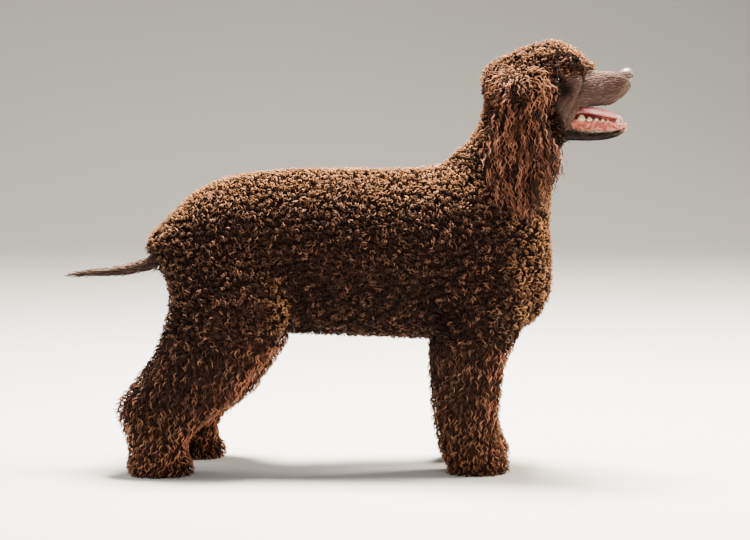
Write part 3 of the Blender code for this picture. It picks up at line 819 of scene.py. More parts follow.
def lofted(rings, name):
    """A closed body through rings of points, each end drawn to its middle."""
    shape = bmesh.new()
    rows = [[shape.verts.new(p) for p in ring] for ring in rings]
    count = len(rows[0])
    for low, high in zip(rows[:-1], rows[1:]):
        for k in range(count):
            j = (k + 1) % count
            shape.faces.new((low[k], low[j], high[j], high[k]))
    for row in (rows[0], rows[-1]):
        centre = shape.verts.new(sum((v.co for v in row), Vector()) / count)
        for k in range(count):
            shape.faces.new((row[k], row[(k + 1) % count], centre))
    bmesh.ops.recalc_face_normals(shape, faces=shape.faces[:])
    return finished(shape, name)


# the mouth is in shadow behind a slanting line, here as forward and up
SHADOW_EDGE, SHADOW_SLANT = (0.057, -0.0570), 2.3


def add_piece(name, mesh, material):
    """An object for a finished mesh, riding on the dog. It knows how deep in the mouth it is."""
    ahead, _, up = in_head(vertices_of(mesh)).T
    before_edge = ahead - SHADOW_EDGE[0] + (up - SHADOW_EDGE[1]) * SHADOW_SLANT
    put_marks(mesh, mouth_depth=1 - ramp(before_edge, -0.006, 0.006), up=up)
    mesh.shade_smooth()
    mesh.materials.append(material)
    made = new_object(name, mesh)
    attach(made, "root")
    return made


# the crest of the lower gum on the left side, from the back to the front: forward, aside, up
LOWER_CREST = (
    (0.022, 0.0220, -0.0715), (0.036, 0.0228, -0.0722), (0.052, 0.0228, -0.0735),
    (0.077, 0.0212, -0.0752), (0.101, 0.0186, -0.0775), (0.116, 0.0146, -0.0800),
    (0.1255, 0.0082, -0.0838), (0.1288, 0.0, -0.0850),
)
UPPER_CREST = (
    (0.030, 0.0205, -0.0360), (0.050, 0.0212, -0.0350), (0.077, 0.0196, -0.0320),
    (0.094, 0.0170, -0.0270), (0.106, 0.0130, -0.0205), (0.1135, 0.0074, -0.0158),
    (0.1155, 0.0, -0.0150),
)
ARCH_MIDDLE = (0.05, 0)


def arch_of(crest, count):
    """The whole arch, left to right, with the way outward at each point."""
    left = flowing(crest, count)
    whole = np.concatenate([left, left[-2::-1] * (1, -1, 1)])
    along = np.gradient(whole[:, :2], axis=0)
    outward = np.stack([-along[:, 1], along[:, 0]], axis=1)
    outward /= np.linalg.norm(outward, axis=1, keepdims=True)
    outward *= np.sign((outward * (whole[:, :2] - ARCH_MIDDLE)).sum(axis=1))[:, None]
    return whole, np.concatenate([outward, np.zeros((len(whole), 1))], axis=1)


crest, outward = arch_of(LOWER_CREST, 56)
# offset outward from the crest as a share of the way to the lip, more offset, and drop
LINING = (
    (1.00, -0.0014, 0.0), (0.80, -0.0008, 0.0), (0.55, 0.0, 0.0), (0.30, 0.0006, 0.0),
    (0.0, 0.0026, -0.0016), (0.0, 0.0014, 0.0010), (0.0, -0.0014, 0.0010),
    (0.0, -0.0030, -0.0024), (0.0, -0.0058, -0.0120), (0.30, 0.0, -0.0260),
)
# how far the lip may stand out from the crest at each place along the jaw
LIP_LIMIT = ((0.02, 0.05, 0.09, 0.127), (0.012, 0.0085, 0.006, 0.0052))
OVER_TEETH, LIP_STEPS = -0.066, (0.0030, 0.0165, 0.0003)


def lip_at(place, way):
    """How far out from the crest the rim of the lip is, and its height."""
    reach, level, highest = 0.0, 0.0, -1.0
    for step in np.arange(*LIP_STEPS):
        spot = place + way * step
        spot[2] = OVER_TEETH
        hit, slope, _, _ = skin_tree.ray_cast(Vector(from_head(spot)), Vector((0, 0, -1)), 0.05)
        if hit is None or slope.z < 0.2:
            break
        height = in_head(np.array(hit))[2]
        if height < highest - 0.0006 or height < place[2] - 0.0260:
            break
        highest = max(highest, height)
        reach, level = step, height
    return reach, level


lips = np.array([lip_at(place, way) for place, way in zip(crest, outward)])
sound = np.nonzero(lips[:, 0] > 0.004)[0]
every = np.arange(len(lips))
lips = np.stack([np.interp(every, sound, lips[sound, k]) for k in (0, 1)], axis=1)
lips[:, 0] = np.minimum(lips[:, 0], np.interp(crest[:, 0], *LIP_LIMIT))
for _ in range(3):
    lips[1:-1] = (lips[:-2] + 2 * lips[1:-1] + lips[2:]) / 4
# along each half of the arch the gum bulges at the root of the fang and of the front teeth
FANG_PLACE, FANG_BULGE, BULGE_WIDTH, FRONT_BULGE = 0.792, 0.0024, 0.05, 0.0010
LIP_PLUMP, LIP_OVER, LINING_UNDER = 0.0011, 0.0006, 0.0035
rings = []
for index, (place, way, (reach, level)) in enumerate(zip(crest, outward, lips)):
    share_round = min(index, len(crest) - 1 - index) / ((len(crest) - 1) / 2)
    bulge = FANG_BULGE * bell(share_round, FANG_PLACE, BULGE_WIDTH)
    bulge += FRONT_BULGE * ramp(share_round, 0.84, 0.90)
    ring = []
    for share, more, drop in LINING:
        offset = share * reach + more
        if share > 0 and drop == 0.0:
            swell = LIP_PLUMP * math.sin(math.pi * share) + LIP_OVER
            up = place[2] + (level - place[2]) * share**0.8 + swell
        elif share > 0:
            up = min(level, place[2]) - LINING_UNDER
        else:
            up = place[2] + drop
            offset += math.copysign(bulge, more) if abs(more) < 0.004 else -bulge
        ring.append(from_head(place * (1, 1, 0) + way * offset + (0, 0, up)))
    rings.append(ring)
gum_mesh = lofted(rings, "lower_gum")

LOW_LINING, HIGH_LINING = (0.44, 0.080, 0.042), (0.48, 0.085, 0.062)
PINK_AND_PAINTED_GLEAM, VEIN_RED, PORE_RED = (0.70, 0.280, 0.190), (0.26, 0.022, 0.016), (0.27, 0.028, 0.020)
EDGE_DARK, EDGE_PALE, SHADOW_RED = (0.040, 0.018, 0.015), (0.42, 0.30, 0.24), (0.16, 0.012, 0.016)
# heights of the lining's grizzled edge, its middle and its crest, over a level under the jaw
UNDER_JAW, EDGE, MIDDLE, CREST = 0.2, (0.1055, 0.1095), (0.108, 0.124), (0.1225, 0.1290)
mouth_lining, tree, shader = new_material("mouth_lining", 0.30, coat=0.5, coat_roughness=0.12)
here = object_place(tree)
up_here, deep_here = marks_on(tree, "up", "mouth_depth")
mottle = noise(tree, here, 190.0, 3.0)
pores = noise(tree, here, 700.0, 2.0)
upward = up_here + UNDER_JAW
lining = mixed(upward.between(*MIDDLE), LOW_LINING, HIGH_LINING)
# paler pink mottling: the lining's own colour, with painted wet highlights
lining = mixed(mottle.between(0.48, 0.62) * 0.75, lining, PINK_AND_PAINTED_GLEAM)
lining = mixed((1 - mottle).between(0.52, 0.66) * 0.65, lining, VEIN_RED)
lining = mixed(pores.between(0.50, 0.75) * 0.4, lining, PORE_RED)
grizzled = mixed(pores.between(0.42, 0.60), EDGE_DARK, EDGE_PALE)
lining = mixed(1 - upward.between(*EDGE), lining, grizzled)
lining = mixed(deep_here * upward.between(*CREST), lining, SHADOW_RED)
feed(shader, base_color=lining, normal=bump(tree, pores + mottle * 4.0, 0.0020))
gum = add_piece("lower_gum", gum_mesh, mouth_lining)
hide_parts("lower_teeth")

upper_crest, upper_outward = arch_of(UPPER_CREST, 44)
# offset outward from the crest, and rise over it, round the upper gum
UPPER_GUM = (
    (0.0024, 0.0006), (0.0014, -0.0010), (-0.0014, -0.0010), (-0.0026, 0.0010),
    (-0.0050, 0.0075), (0.0020, 0.0110), (0.0034, 0.0060),
)
rings = [
    [from_head(place + way * offset + (0, 0, rise)) for offset, rise in UPPER_GUM]
    for place, way in zip(upper_crest, upper_outward)
]
add_piece("upper_gum", lofted(rings, "upper_gum"), mouth_lining)


def cheek_tooth(length, thickness, height, cusps):
    """A crown with its cusps in a row. Each cusp is a place from -1 to 1, height and width."""
    crown = bmesh.new()
    bmesh.ops.create_icosphere(crown, subdivisions=3, radius=1.0)
    for v in crown.verts:
        x, y, z = v.co
        top = sum(h * bell(x, c, w) for c, h, w in cusps)
        top = max(top, 0.45) * (1 - abs(x) ** 6)
        rise = max(z, 0.0)
        level = rise * top * height if z > 0 else z * height * 0.5
        narrow = 1 - 0.5 * rise * min(top, 1.0)
        v.co = (x * length / 2, y * thickness / 2 * narrow, level)
    return crown


def fang(length, thickness, height, lean):
    """A tapering, bent crown: canines and incisors. lean bends its tip forward."""
    crown = bmesh.new()
    bmesh.ops.create_icosphere(crown, subdivisions=3, radius=1.0)
    for v in crown.verts:
        x, y, z = v.co
        rise = (z + 0.35) / 1.35
        slim = max(1 - 0.30 * max(rise, 0) ** 1.6, 0.2)
        v.co = (x * length / 2 * slim + lean * height * max(rise, 0) ** 2,
                y * thickness / 2 * slim, rise * height if rise > 0 else z * height * 0.3)
    return crown


CARNASSIAL = ((-0.46, 0.90, 0.54), (0.20, 1.0, 0.54), (0.78, 0.72, 0.38))
PREMOLAR = ((0.0, 1.0, 0.52), (-0.72, 0.50, 0.32), (0.72, 0.46, 0.32))
# kind, place along half the arch from the back, length, thickness, height, lean or cusps
LOWER_TEETH = (
    ("cheek", 0.218, 0.0168, 0.0080, 0.0068, CARNASSIAL),
    ("cheek", 0.345, 0.0122, 0.0060, 0.0062, PREMOLAR),
    ("cheek", 0.455, 0.0096, 0.0052, 0.0052, PREMOLAR),
    ("cheek", 0.556, 0.0086, 0.0048, 0.0042, PREMOLAR),
    ("cheek", 0.636, 0.0050, 0.0040, 0.0042, PREMOLAR),
    ("fang", 0.792, 0.0078, 0.0066, 0.0112, 0.12),
    ("fang", 0.872, 0.0056, 0.0050, 0.0082, 0.22),
    ("fang", 0.925, 0.0050, 0.0046, 0.0080, 0.26),
    ("fang", 0.975, 0.0044, 0.0042, 0.0076, 0.30),
)
UPPER_TEETH = (
    ("cheek", 0.060, 0.0100, 0.0080, 0.0050, PREMOLAR),
    ("cheek", 0.200, 0.0165, 0.0070, 0.0090, CARNASSIAL),
    ("cheek", 0.345, 0.0100, 0.0050, 0.0070, PREMOLAR),
    ("cheek", 0.455, 0.0090, 0.0046, 0.0060, PREMOLAR),
    ("cheek", 0.545, 0.0050, 0.0040, 0.0040, PREMOLAR),
    ("fang", 0.755, 0.0080, 0.0064, 0.0120, -0.08),
    ("fang", 0.870, 0.0052, 0.0046, 0.0064, 0.06),
    ("fang", 0.925, 0.0046, 0.0042, 0.0056, 0.05),
    ("fang", 0.975, 0.0042, 0.0040, 0.0054, 0.05),
)


# how each kind of tooth is made, how far its tip leans out, and how deep it sits in the gum
CROWNS = {"cheek": cheek_tooth, "fang": fang}
SPLAY = {"cheek": 0.06, "fang": 0.22}
SUNK = {"cheek": -0.0006, "fang": 0.0012}


def set_of_teeth(name, teeth, arch, ways, upward):
    """Crowns set in an arch, pointing up from it or down from it, as one mesh."""
    row = bmesh.new()
    half = (len(arch) - 1) // 2
    for kind, share, length, thickness, height, form in teeth:
        for mirror in (False, True):
            at = share * half if not mirror else len(arch) - 1 - share * half
            low = int(at)
            part = at - low
            place = arch[low] * (1 - part) + arch[min(low + 1, len(arch) - 1)] * part
            out = ways[low] * (1 - part) + ways[min(low + 1, len(arch) - 1)] * part
            out = out / np.linalg.norm(out)
            ahead = np.array([-out[1], out[0], 0.0])
            if ahead[0] < 0:
                ahead = -ahead
            crown = CROWNS[kind](length, thickness, height, form)
            tip_way = np.array([0, 0, 1.0 if upward else -1.0]) + out * SPLAY[kind]
            tip_way = tip_way / np.linalg.norm(tip_way)
            side_way = np.cross(tip_way, ahead)
            side_way = side_way / np.linalg.norm(side_way)
            ahead = np.cross(side_way, tip_way)
            turned = Matrix(np.stack([ahead, side_way, tip_way]).T.tolist()).to_4x4()
            in_dog = Matrix(HEAD_AXES.T.tolist()).to_4x4()
            spot = from_head(place + (0, 0, -SUNK[kind] if upward else SUNK[kind]))
            set_in_jaw = Matrix.Translation(spot) @ in_dog @ turned
            bmesh.ops.transform(crown, matrix=set_in_jaw, verts=crown.verts)
            row.from_mesh(finished(crown, "crown"))
    bmesh.ops.recalc_face_normals(row, faces=row.faces[:])
    return finished(row, name)


IVORY, STAINED_IVORY = (0.58, 0.44, 0.27), (0.45, 0.28, 0.15)
enamel, tree, shader = new_material("enamel", 0.22, coat=0.3)
here = object_place(tree)
stain = noise(tree, here, 260.0, 3.0)
feed(
    shader,
    base_color=mixed(stain.between(0.35, 0.75), IVORY, STAINED_IVORY),
    normal=bump(tree, noise(tree, here, 1200.0), 0.0003, 0.3),
)
lower_row = set_of_teeth("lower_tooth_row", LOWER_TEETH, crest, outward, True)
add_piece("lower_tooth_row", lower_row, enamel)
upper_row = set_of_teeth("upper_tooth_row", UPPER_TEETH, upper_crest, upper_outward, False)
add_piece("upper_tooth_row", upper_row, enamel)

# forward place, height of the top, half-width and thickness of the tongue from root to tip
TONGUE = (
    (0.008, -0.0620, 0.0120, 0.0150),
    (0.026, -0.0550, 0.0156, 0.0170),
    (0.046, -0.0505, 0.0172, 0.0180),
    (0.066, -0.0500, 0.0178, 0.0170),
    (0.086, -0.0532, 0.0176, 0.0150),
    (0.102, -0.0588, 0.0164, 0.0124),
    (0.1130, -0.0635, 0.0136, 0.0100),
    (0.1200, -0.0680, 0.0084, 0.0068),
    (0.1228, -0.0708, 0.0030, 0.0034),
)
# the soft floor of the mouth under it, in the same terms
FLOOR_OF_MOUTH = (
    (0.004, -0.0610, 0.0180, 0.0410),
    (0.050, -0.0620, 0.0190, 0.0390),
    (0.080, -0.0645, 0.0176, 0.0355),
    (0.100, -0.0690, 0.0150, 0.0300),
    (0.1160, -0.0755, 0.0080, 0.0210),
)
GROOVE_WIDTH, LUMP, FULL_WIDTH = 0.0022, 0.0003, 0.012


def soft_slab(stations, count, groove_depth, curl_up):
    """Rings for a rounded slab of flesh with a groove along its middle."""
    rings = []
    for ahead, top, half, thickness in flowing(stations, count):
        ring = []
        for turn in np.linspace(0, 2 * math.pi, 40, endpoint=False):
            aside = half * math.copysign(abs(math.cos(turn)) ** 0.75, math.cos(turn))
            level = math.sin(turn)
            rise = thickness / 2 * math.copysign(abs(level) ** 0.8, level)
            curl = curl_up * (abs(aside) / half) ** 3 * min(half / FULL_WIDTH, 1)
            groove = groove_depth * bell(aside, 0, GROOVE_WIDTH) * (1 if level > 0 else 0.4)
            lumps = LUMP * math.sin(ahead * 900 + 3 * math.sin(aside * 300)) if level > 0 else 0
            up = top - thickness / 2 + rise + curl - math.copysign(groove, level) + lumps
            ring.append(from_head(np.array([ahead, aside, up])))
        rings.append(ring)
    return rings


floor_mesh = lofted(soft_slab(FLOOR_OF_MOUTH, 30, 0.0008, 0.0), "mouth_floor")
add_piece("mouth_floor", floor_mesh, mouth_lining)
DEEP_PINK, LIGHT_PINK, DEEP_SHADOW_RED = (0.62, 0.19, 0.20), (0.70, 0.30, 0.30), (0.20, 0.013, 0.020)
tongue_skin, tree, shader = new_material("tongue", 0.32, coat=0.6, coat_roughness=0.15)
here = object_place(tree)
buds = node(tree, "ShaderNodeTexVoronoi", None, {"Vector": here, "Scale": 1300.0})["Distance"]
blush = noise(tree, here, 60.0, 3.0)
(deep_here,) = marks_on(tree, "mouth_depth")
pink = mixed(blush.between(0.35, 0.7), DEEP_PINK, LIGHT_PINK)
# painted shadow: the tongue turns dark red deeper in the mouth
feed(
    shader,
    base_color=mixed(deep_here, pink, DEEP_SHADOW_RED),
    normal=bump(tree, buds, 0.0005, 0.6),
)
tongue_mesh = lofted(soft_slab(TONGUE, 46, 0.0016, 0.0022), "tongue_flesh")
tongue = add_piece("tongue_flesh", tongue_mesh, tongue_skin)
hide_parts("tongue")


# ------------------------------------------------------------------ nose
# The nose is bare, pebbled leather of a deep liver brown, always wet. It stands on the end of
# the muzzle, with two nostrils that run out into slits at the sides and a groove between them.

NOSE_GRAIN, NOSE_SWELL = 0.0008, 0.0002
nose_mesh = melted(copies(("nose",), NOSE_SWELL), NOSE_GRAIN)
points = Smoother(nose_mesh).smooth(vertices_of(nose_mesh), 0.5, 5)
put_vertices(nose_mesh, points)
normals = normals_of(nose_mesh)
# place, size and how far the leather moves out: nostril, its slit, wing, groove, crown
NOSE_TOUCHES = (
    ((0.1420, 0.0082, 0.0078), (0.0060, 0.0034, 0.0036), -0.0046),
    ((0.1385, 0.0128, 0.0060), (0.0060, 0.0036, 0.0016), -0.0026),
    ((0.1330, 0.0172, 0.0052), (0.0060, 0.0030, 0.0013), -0.0022),
    ((0.1385, 0.0120, 0.0120), (0.0060, 0.0046, 0.0034), 0.0010),
    ((0.1430, 0.0000, 0.0040), (0.0060, 0.0011, 0.0120), -0.0013),
    ((0.1300, 0.0060, 0.0225), (0.0080, 0.0070, 0.0040), 0.0006),
)
lift = np.zeros(len(points))
for place, size, amount in NOSE_TOUCHES:
    lift += amount * patch(both_sides(points), place, size)
points = Smoother(nose_mesh).smooth(points + normals * lift[:, None], 0.4, 2)
put_vertices(nose_mesh, points)
LIVER_DARK, LIVER_PALE = (0.050, 0.024, 0.018), (0.100, 0.048, 0.036)
nose_leather, tree, shader = new_material(
    "nose_leather", 0.44, specular=0.32, coat=0.20, coat_roughness=0.25
)
here = object_place(tree)
pebbles = node(tree, "ShaderNodeTexVoronoi", None, {"Vector": here, "Scale": 850.0})["Distance"]
cloud = noise(tree, here, 180.0, 3.0)
feed(
    shader,
    base_color=mixed(cloud.between(0.3, 0.7), LIVER_DARK, LIVER_PALE),
    normal=bump(tree, pebbles * -1.0, 0.0006, 0.7),
)
nose = add_piece("nose_pad", nose_mesh, nose_leather)
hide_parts("nose")


# ------------------------------------------------------------------ eyes
# Two dark brown eyes, glass in such a model: an eyeball with a bulging clear front over a dark
# iris and a round pupil. It is set behind the lids and wet all over.

CORNEA, CORNEA_RISE = 0.0080, 0.0013
IRIS, PUPIL, SOFT_EDGE = 0.0076, 0.0030, 1.12
BROWN_DARK, BROWN_PALE, IRIS_RIM = (0.010, 0.004, 0.002), (0.040, 0.016, 0.007), (0.006, 0.004, 0.003)
WHITE_DULL, WHITE_PALE, PUPIL_BLACK = (0.16, 0.11, 0.09), (0.26, 0.20, 0.17), (0.001, 0.001, 0.001)
eye_glass, tree, shader = new_material("eye", 0.10, specular=0.20, coat=0.12, coat_roughness=0.04)
(from_axis,) = marks_on(tree, "from_axis")
spokes = noise(tree, object_place(tree), 1500.0, 3.0)
iris = mixed(spokes.between(0.3, 0.7), BROWN_DARK, BROWN_PALE)
iris = mixed(from_axis.between(IRIS * 0.80, IRIS), iris, IRIS_RIM)
white = mixed(spokes.between(0.4, 0.7), WHITE_DULL, WHITE_PALE)
colour = mixed(from_axis.between(PUPIL, PUPIL * SOFT_EDGE), PUPIL_BLACK, iris)
feed(shader, base_color=mixed(from_axis.between(IRIS, IRIS * SOFT_EDGE), colour, white))
for side, word in ((-1, "right"), (1, "left")):
    axes = eye_axes(side)
    ball = bmesh.new()
    bmesh.ops.create_uvsphere(ball, u_segments=48, v_segments=32, radius=EYEBALL)
    distances = []
    for v in ball.verts:
        out = math.hypot(v.co.x, v.co.y)
        distances.append(out if v.co.z > 0 else EYEBALL)
        if v.co.z > 0 and out < CORNEA:
            v.co.z += CORNEA_RISE * (1 - (out / CORNEA) ** 2) ** 1.2
    basis = np.stack([axes[1], axes[2], axes[0]]) @ HEAD_AXES
    if np.linalg.det(basis) < 0:
        basis[0] = -basis[0]
    spot = from_head(EYE_CENTRE * (1, side, 1))
    set_in_socket = Matrix.Translation(spot) @ Matrix(basis.T.tolist()).to_4x4()
    bmesh.ops.transform(ball, matrix=set_in_socket, verts=ball.verts)
    ball_mesh = finished(ball, f"eyeball_{word}")
    put_marks(ball_mesh, from_axis=distances)
    eyeball = add_piece(f"eyeball_{word}", ball_mesh, eye_glass)
    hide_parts(f"eye_{word}")


# ------------------------------------------------------------------ coat of curls
# A water spaniel's coat is one mass of tight, crisp ringlets from the topknot to the feet. The
# locks are long, loose and wavy on the ears and shaggier on the hind legs. Each lock is a
# thin tapered coil with its root on the skin and its tip at the outline of the dog.

rng = np.random.default_rng(7)
skin_points = vertices_of(skin_mesh)
skin_mesh.calc_loop_triangles()
flat = np.empty(len(skin_mesh.loop_triangles) * 3, int)
skin_mesh.loop_triangles.foreach_get("vertices", flat)
skin_triangles = flat.reshape(-1, 3)
body_outline = tree_of(melted(copies(FLESH_NODES, SWELL), ROUGH_GRAIN))
whole_outline = tree_of(melted(copies(FLESH_NODES + EAR_NODES, SWELL), ROUGH_GRAIN))
leather_tree, flesh_tree = tree_of(leather), tree_of(flesh)

# the hide laid flat: a light copy of the skin is unwrapped, and each root finds its place on it
LIGHT_HIDE, FOLD_ANGLE, HIDE_GAP = 7000, math.radians(66), 0.004
flat_hide = through(skin_mesh, ("DECIMATE", {"ratio": LIGHT_HIDE / len(skin_triangles)}))
flat_holder = new_object("flat_hide", flat_hide)
bpy.context.view_layer.objects.active = flat_holder
flat_holder.select_set(True)
bpy.ops.object.mode_set(mode="EDIT")
bpy.ops.mesh.select_all(action="SELECT")
bpy.ops.uv.smart_project(angle_limit=FOLD_ANGLE, island_margin=HIDE_GAP)
bpy.ops.object.mode_set(mode="OBJECT")
flat_hide.calc_loop_triangles()
hide_corners = [[flat_hide.vertices[v].co.copy() for v in t.vertices] for t in flat_hide.loop_triangles]
hide_uv = flat_hide.uv_layers.active.data
hide_places = [[hide_uv[k].uv.to_3d() for k in t.loops] for t in flat_hide.loop_triangles]
hide_tree = BVHTree.FromPolygons(
    [corner for corners in hide_corners for corner in corners],
    [(3 * k, 3 * k + 1, 3 * k + 2) for k in range(len(hide_corners))],
)
bpy.data.objects.remove(flat_holder)


def place_on_hide(roots):
    """Where each root lies on the flattened hide."""
    places = []
    for root in roots:
        spot, _, index, _ = hide_tree.find_nearest(Vector(root))
        where = barycentric_transform(spot, *hide_corners[index], *hide_places[index])
        places.append(where.to_2d())
    return np.array(places)


TRIES_PER_ROOT = 7


def scattered(triangles, spacing):
    """Random places on these triangles of the skin, no two nearer than the spacing."""
    corners = skin_points[triangles]
    cross = np.cross(corners[:, 1] - corners[:, 0], corners[:, 2] - corners[:, 0])
    areas = np.linalg.norm(cross, axis=1) / 2
    tries = int(areas.sum() / spacing**2 * TRIES_PER_ROOT)
    chosen = rng.choice(len(triangles), tries, p=areas / areas.sum())
    u, v = np.sqrt(rng.random(tries)), rng.random(tries)
    shares = np.stack([1 - u, u * (1 - v), u * v], axis=1)
    spots = (corners[chosen] * shares[:, :, None]).sum(axis=1)
    normals = cross[chosen] / np.linalg.norm(cross[chosen], axis=1)[:, None]
    cells = np.floor(spots / spacing).astype(int)
    kept, taken = [], {}
    around = [(i, j, k) for i in (-1, 0, 1) for j in (-1, 0, 1) for k in (-1, 0, 1)]
    for index, (spot, cell) in enumerate(zip(spots.tolist(), cells.tolist())):
        beside = [taken.get((cell[0] + i, cell[1] + j, cell[2] + k), ()) for i, j, k in around]
        if all(math.dist(spot, other) >= spacing for others in beside for other in others):
            taken.setdefault(tuple(cell), []).append(spot)
            kept.append(index)
    return spots[kept], normals[kept]


def unit(vectors):
    return vectors / np.maximum(np.linalg.norm(vectors, axis=-1, keepdims=True), 1e-9)


def reach_of(roots, normals, tree, most):
    """How far each root is from the outline of the dog, straight out from the skin."""
    reaches = []
    for root, normal in zip(roots, normals):
        hit = tree.ray_cast(Vector(root), Vector(normal), most)[3]
        reaches.append(most if hit is None else hit)
    return np.array(reaches)


BUNCH_REACH = 0.62
# the locks differ this much in length and in curl, in turns, in width and in how far they reach
SIZE_RANGE, TURNS_RANGE, WIDTH_RANGE, REACH_RANGE = (0.75, 1.25), (0.8, 1.25), (0.8, 1.2), (0.92, 1.10)


def bunches(roots, spacing):
    """The locks in bunches about this far apart: each lock's bunch, by its leader."""
    order = rng.permutation(len(roots))
    finder = KDTree(len(roots))
    for index in range(len(roots)):
        finder.insert(Vector(roots[index]), index)
    finder.balance()
    leader = np.full(len(roots), -1)
    for index in order:
        if leader[index] < 0:
            for _, other, _ in finder.find_range(Vector(roots[index]), spacing * BUNCH_REACH):
                if leader[other] < 0:
                    leader[other] = index
    return leader


def lock_shapes(roots, normals, lies, reach, sizes, shape, leader):
    """The vertices of coiled locks, a row for each lock: its rings of three, and its tip."""
    count, rings, loose = len(roots), shape["rings"], shape["loose"]

    def some(low, high):
        """A number for each lock: its bunch's own number, and a little of its own."""
        shared = rng.uniform(low, high, count)[leader][:, None, None]
        own = rng.uniform(low, high, count)[:, None, None]
        return shared * (1 - loose) + own * loose

    # s runs from 0 at the root to 1 at the tip, and the rings stand a little closer at the tip
    s = np.linspace(0, 1, rings)[None, :, None] ** 0.9
    sizes = sizes[:, None, None]
    length = shape["length"] * some(*SIZE_RANGE) * sizes
    curl = shape["curl"] * some(*SIZE_RANGE) * sizes
    turns = shape["turns"] * some(*TURNS_RANGE) * rng.choice([-1, 1], count)[leader][:, None, None]
    width = shape["width"] * some(*WIDTH_RANGE)
    aside = unit(np.cross(normals, lies))[:, None]
    swing = some(-1, 1) * shape["stray"]
    to_leader = (roots[leader] - roots)[:, None]
    course = unit(lies[:, None] * np.cos(swing) + aside * np.sin(swing))
    outward = normals[:, None]
    distance = np.linalg.norm(to_leader, axis=2, keepdims=True)
    off_centre = distance / (shape["bunch"] * BUNCH_REACH)
    proud = some(*REACH_RANGE) * (1 - shape["dome"] * off_centre**2)
    height = np.maximum(reach[:, None, None] * proud - curl, shape["lowest"])
    rise = 1 - (1 - s) ** shape["rise"]
    path = roots[:, None] + outward * height * rise + course * length * s
    path = path + to_leader * shape["gather"] * np.sin(math.pi / 2 * s)

    # the coil is wound round that path
    along = unit(np.gradient(path, axis=1))
    across = unit(np.cross(outward, course))
    upward = unit(np.cross(along, across))
    angle = 2 * math.pi * (turns * s + some(0, 1))
    radius = curl * np.minimum(1, s / 0.2) * (1 - 0.3 * s)
    path = path + radius * (np.cos(angle) * across + np.sin(angle) * upward)

    # the lock's section is carried along the coil without a twist
    tangent = unit(np.gradient(path, axis=1))
    flat_way = np.empty_like(path)
    flat_way[:, 0] = unit(np.cross(tangent[:, 0], outward[:, 0] + 0.3 * aside[:, 0]))
    for k in range(1, rings):
        carried = flat_way[:, k - 1]
        bent = (carried * tangent[:, k]).sum(axis=1, keepdims=True) * tangent[:, k]
        flat_way[:, k] = unit(carried - bent)
    thin_way = np.cross(tangent, flat_way)
    swell = width * (0.6 + 0.4 * np.sin(math.pi * np.minimum(1, 1.25 * s))) * (1 - s**4)
    sides = []
    for k in range(3):
        turn = 2 * math.pi * (k / 3 + 0.25)
        offset = flat_way * math.cos(turn) + thin_way * 0.7 * math.sin(turn)
        sides.append(path + offset * swell)
    body = np.stack(sides, axis=2)[:, :-1].reshape(count, -1, 3)
    vertices = np.concatenate([body, path[:, -1:]], axis=1)
    vertices[..., 2] = np.maximum(vertices[..., 2], LOWEST_HAIR)
    return vertices


def lock_faces(rings):
    """One lock's corners as vertex, place round it and ring, and the corners of each face."""
    tip = 3 * (rings - 1)
    corners, counts = [(2, 2, 0), (1, 1, 0), (0, 0, 0)], [3]
    for ring in range(rings - 2):
        low, high = 3 * ring, 3 * ring + 3
        for k in range(3):
            j = (k + 1) % 3
            corners += [(low + k, k, ring), (low + j, k + 1, ring)]
            corners += [(high + j, k + 1, ring + 1), (high + k, k, ring + 1)]
            counts.append(4)
    for k in range(3):
        low = tip - 3
        corners += [(low + k, k, rings - 2), (low + (k + 1) % 3, k + 1, rings - 2)]
        corners.append((tip, k + 0.5, rings - 1))
        counts.append(3)
    return corners, counts


def add_locks(name, roots, normals, lies, reach, sizes, shape, uv_places, marks):
    """One piece of coiled locks, with its maps and its marks, riding on the dog."""
    count, rings = len(roots), shape["rings"]
    leader = bunches(roots, shape["bunch"])
    vertices = lock_shapes(roots, normals, lies, reach, sizes, shape, leader)
    per_lock = vertices.shape[1]
    corners, counts = lock_faces(rings)
    vertex, around, ring = np.array(corners).T
    all_loops = (vertex + np.arange(count)[:, None] * per_lock).ravel()
    all_counts = np.tile(counts, count)
    firsts = np.concatenate([[0], np.cumsum(all_counts)[:-1]])
    mesh = bpy.data.meshes.new(name)
    mesh.vertices.add(count * per_lock)
    mesh.vertices.foreach_set("co", vertices.ravel())
    mesh.loops.add(len(all_loops))
    mesh.loops.foreach_set("vertex_index", all_loops.astype(np.int32))
    mesh.polygons.add(len(all_counts))
    mesh.polygons.foreach_set("loop_start", firsts.astype(np.int32))
    mesh.polygons.foreach_set("loop_total", all_counts.astype(np.int32))
    mesh.update(calc_edges=True)
    tile = np.stack([around / 3, ring / (rings - 1)], axis=1) - 0.5
    bake = (uv_places[:, None] + tile[None] * PATCH).reshape(-1, 2)
    mesh.uv_layers.new(name="OFBake").data.foreach_set("uv", bake.ravel())
    strand = np.broadcast_to(tile + 0.5, (count, len(tile), 2)).copy()
    strand[..., 1] += rng.random((count, 1)) * 50
    mesh.uv_layers.new(name="strand").data.foreach_set("uv", strand.ravel())
    above = ((vertices - roots[:, None]) * normals[:, None]).sum(axis=2)
    height = np.clip(above / np.maximum(reach, 0.004)[:, None], 0, 1).ravel()
    tones = rng.random(count)[leader] * 0.75 + rng.random(count) * 0.25
    marks = {title: np.repeat(values, per_lock) for title, values in marks.items()}
    put_marks(mesh, height=height, tone=np.repeat(tones, per_lock), **marks)
    mesh.shade_smooth()
    made = new_object(name, mesh)
    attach(made, "root")
    return made


